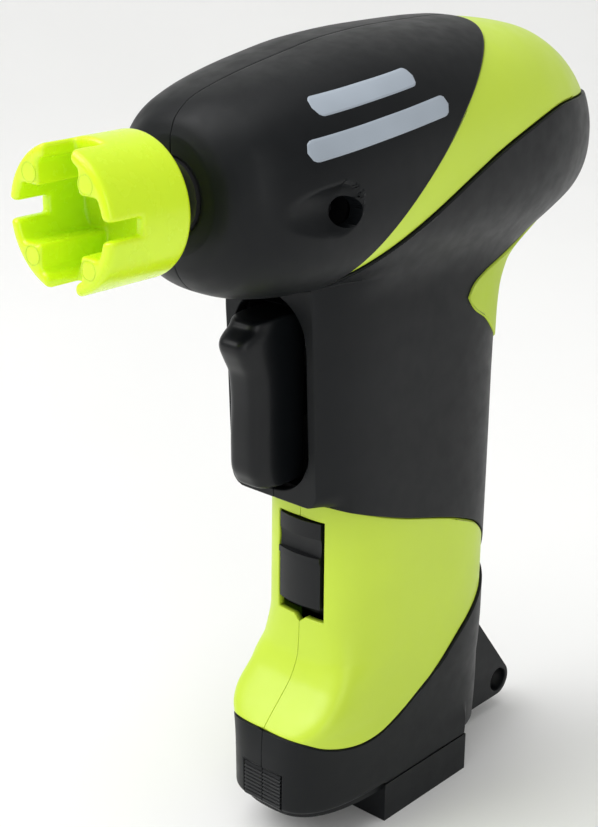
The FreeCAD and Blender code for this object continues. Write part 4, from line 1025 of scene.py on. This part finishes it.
def lug(bm):
    """Adds half of the triangular fin with its lanyard hole."""
    cy, cz = LUG_AT
    turn = np.linspace(math.pi / 2 - math.atan(LUG_SLOPE), -math.pi / 2, 40)
    tip = np.stack([cy + LUG_REACH * np.cos(turn), cz + LUG_REACH * np.sin(turn)], 1)
    top_z = tip[0, 1] + (tip[0, 0] - LUG_WALL) * LUG_SLOPE
    foot = [[LUG_WALL + 2, cz - LUG_REACH], [LUG_WALL, BASE_Z], [LUG_WALL, top_z]]
    corners = np.concatenate([tip, foot, tip[:1]])
    runs = [np.linspace(a, b, 12, endpoint=False) if np.linalg.norm(b - a) > 2 else a[None]
            for a, b in zip(corners, corners[1:])]
    outline = np.concatenate(runs + [tip[:1]])
    away = outline - np.array(LUG_AT)
    ring = np.array(LUG_AT) + LUG_HOLE * away / np.linalg.norm(away, axis=1)[:, None]
    faces = [np.stack([np.full(len(line), x), line[:, 0], line[:, 1]], 1)
             for line, x in ((ring, SPLIT), (outline, SPLIT), (outline, LUG_HALF),
                             (ring, LUG_HALF), (ring, SPLIT))]
    extra = bmesh.new()
    add_grid(extra, np.stack(faces))
    bmesh.ops.remove_doubles(extra, verts=extra.verts, dist=MERGED)
    bmesh.ops.recalc_face_normals(extra, faces=extra.faces)
    weight = extra.edges.layers.float.new("bevel_weight_edge")
    for edge in extra.edges:
        if all(abs(vert.co.x - LUG_HALF * MM) < 1e-6 for vert in edge.verts):
            if edge.calc_face_angle(0) > math.radians(40):
                edge[weight] = 1.0
    join(bm, extra)


# ---- winding cup ----
CUP_LOW, CUP_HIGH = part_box("winder_cup")
CUP_FRONT, CUP_R = CUP_LOW[1] / MM, CUP_HIGH[0] / MM
CUP_REAR = CUP_FRONT + 21.7
CUP_FLOOR, CUP_WALL = 4.0, 2.7
CROSS_HALF, WIDE_HALF, NARROW_HALF, SLOT_DEPTH = 5.9, 4.0, 1.8, 8.4
HUB_R, HUB_END, SHAFT_R = 6.4, -75.2, 3.02
MARK_AT, MARK_HIGH = 8.3, 0.1
FAR = 40.0               # beyond every face of the cup


def cup_field(p):
    """Slotted cup with a cross-shaped socket, as a rounded field."""
    front, rear = CUP_FRONT + MARK_HIGH / 2, CUP_REAR
    floor, slot_end = rear - CUP_FLOOR, front + SLOT_DEPTH
    x, y, z = p[..., 0], p[..., 1], p[..., 2] - SPINDLE_Z
    radius = np.hypot(x, z)
    q = np.stack([x, y, z], -1)
    body = soft_all([radius - CUP_R, front - y, y - rear], 1.6)
    cross = soft_min(block(q, (-CROSS_HALF, None, -CUP_R), (CROSS_HALF, floor, CUP_R), 0.8),
                     block(q, (-CUP_R, None, -CROSS_HALF), (CUP_R, floor, CROSS_HALF), 0.8), 0.8)
    socket = soft_max(cross, radius - (CUP_R - CUP_WALL), 0.8)
    wide = block(q, (-WIDE_HALF, None, -FAR), (WIDE_HALF, slot_end, FAR), 1.0)
    narrow = block(q, (-FAR, None, -NARROW_HALF), (FAR, slot_end, NARROW_HALF), 0.8)
    cup = soft_max(body, -socket, 1.1)
    cup = soft_max(cup, -soft_min(wide, narrow, 0.4), 1.1)
    hub = soft_all([radius - HUB_R, rear - 1.0 - y, y - HUB_END], 0.8)
    shaft = soft_max(radius - SHAFT_R, rear - 2.5 - y, 0.1)
    return soft_max(soft_min(cup, hub, 1.0), -shaft, 0.2)


def winder_cup():
    """Glossy winding cup and the four ejector rings on its rim."""
    low = (CUP_LOW[0] / MM - 1, CUP_FRONT - 1, CUP_LOW[2] / MM - 1)
    high = (CUP_HIGH[0] / MM + 1, CUP_HIGH[1] / MM + 1, CUP_HIGH[2] / MM + 1)
    mesh = from_field("winder_cup_moulded", cup_field, low, high, 0.36)
    cup = linked(mesh, "winder_cup_moulded")
    finished(cup, "spindle_assembly", CUP, ["winder_cup"])
    ring = [(1.85, 0), (2.15, 0), (2.1, MARK_HIGH), (1.9, MARK_HIGH)]
    for number, (x, z) in enumerate(((1, 1), (-1, 1), (-1, -1), (1, -1)), 1):
        mark = lathe(f"ejector_mark_{number}", ring, 40)
        place = Vector((x * MARK_AT, CUP_FRONT + MARK_HIGH, SPINDLE_Z + z * MARK_AT)) * MM
        mark.data.transform(Matrix.Translation(place) @ Matrix.Rotation(math.pi / 2, 4, "X"))
        finished(mark, "spindle_assembly", CUP)


# ---- print on the head's side ----
# Each bar: name, middle as y and z, length and height.
PRINTS = [("print_long", -36.0, 182.6, 43.0, 4.4), ("print_short", -37.0, 189.8, 30.0, 3.6)]
PRINT_LEAN, INK = math.radians(7), 0.06


def print_bars():
    """Two plain rounded bars printed on the side of the head."""
    for name, cy, cz, length, height in PRINTS:
        u = np.linspace(-1, 1, 60) * length / 2
        end = np.maximum(np.abs(u) - (length - height) / 2, 0)
        v = np.sqrt(np.maximum((height / 2) ** 2 - end ** 2, 0.0004))
        v = v[None, :] * np.linspace(-1, 1, 9)[:, None]
        y = cy + u[None, :] * math.cos(PRINT_LEAN) - v * math.sin(PRINT_LEAN)
        z = cz + u[None, :] * math.sin(PRINT_LEAN) + v * math.cos(PRINT_LEAN)
        grid = sunk(head_point(y, head_angle(y, z)), head_field, -INK / 2)
        bm = skin([grid], lambda c: (1, 0, 0))
        thicken_whole(bm, INK)
        finished(piece_from(bm, name), HANDLE, PRINT)


# ---- studio ----
# Each light: name, place and size in metres, power in watts.
LIGHTS = [
    ("key", (-0.55, -0.80, 0.95), (0.8, 0.8), 7.0),
    ("fill", (1.0, -0.65, 0.45), (0.5, 1.0), 2.6),
]
CAMERA_PLACE, CAMERA_LENS = (0.24305, -0.30543, 0.24572), 72.19
CAMERA_TURN = (41.684, 20.141, 0.56)    # turn, tilt and roll in degrees


def studio():
    """Pale floor and backdrop, and soft lights."""
    turn = np.linspace(0, math.pi / 2, 20)
    wall_y, radius = 1.6, 0.7
    profile = np.concatenate([[[-3.0, 0.0]],
                              np.stack([wall_y - radius + radius * np.sin(turn),
                                        radius * (1 - np.cos(turn))], 1), [[wall_y, 3.0]]])
    bm = bmesh.new()
    add_grid(bm, [[(x / MM, y / MM, z / MM) for y, z in profile] for x in (-3.0, 3.0)])
    bmesh.ops.recalc_face_normals(bm, faces=bm.faces)
    mesh = bpy.data.meshes.new("floor")
    bm.to_mesh(mesh)
    bm.free()
    mesh.shade_smooth()
    floor = linked(mesh, "floor")
    floor.rotation_euler = (0, 0, math.radians(40))
    material, principled = shader("floor", (0.86, 0.86, 0.85), 0.7)
    ramp(material, noise(material, 3.0), (0.85, 0.85, 0.84), (0.88, 0.88, 0.87),
         principled.inputs["Base Color"])
    floor.data.materials.append(material)
    world = bpy.data.worlds.new("studio")
    bpy.context.scene.world = world
    world.use_nodes = True
    world.node_tree.nodes["Background"].inputs["Color"].default_value = (1, 1, 1, 1)
    world.node_tree.nodes["Background"].inputs["Strength"].default_value = 0.45
    for name, place, size, power in LIGHTS:
        data = bpy.data.lights.new(name, "AREA")
        data.shape, data.size, data.size_y, data.energy = "RECTANGLE", size[0], size[1], power
        light = bpy.data.objects.new(name, data)
        bpy.context.scene.collection.objects.link(light)
        light.location = place
        aim = Vector((0, 0, 0.12)) - light.location
        light.rotation_euler = aim.to_track_quat("-Z", "Y").to_euler()
    ceiling = bpy.data.lights.new("ceiling", "SUN")
    ceiling.energy, ceiling.angle = 1.5, math.radians(60)
    light = bpy.data.objects.new("ceiling", ceiling)
    bpy.context.scene.collection.objects.link(light)
    light.rotation_euler = (math.radians(12), math.radians(-10), 0)


def camera():
    """Three-quarter view from the front and above."""
    turn, tilt, roll = (math.radians(angle) for angle in CAMERA_TURN)
    back = Vector((math.sin(turn) * math.cos(tilt), -math.cos(turn) * math.cos(tilt),
                   math.sin(tilt)))
    right = Vector((math.cos(turn), math.sin(turn), 0))
    up = back.cross(right)
    right, up = (right * math.cos(roll) + up * math.sin(roll),
                 up * math.cos(roll) - right * math.sin(roll))
    data = bpy.data.cameras.new("camera")
    data.sensor_width, data.lens = 36.0, CAMERA_LENS
    view = bpy.data.objects.new("camera", data)
    bpy.context.scene.collection.objects.link(view)
    view.matrix_world = (Matrix.Translation(CAMERA_PLACE)
                         @ Matrix((right, up, back)).transposed().to_4x4())
    data.clip_start, data.clip_end = 0.01, 20.0
    bpy.context.scene.camera = view


bpy.context.scene.view_settings.view_transform = "Standard"
dress_nodes()
soften("trigger", 0.3, 14)
nose()
rear_cap()
upper_grip()
neck_pad()
lower_grip()
base()
winder_cup()
print_bars()
studio()
camera()
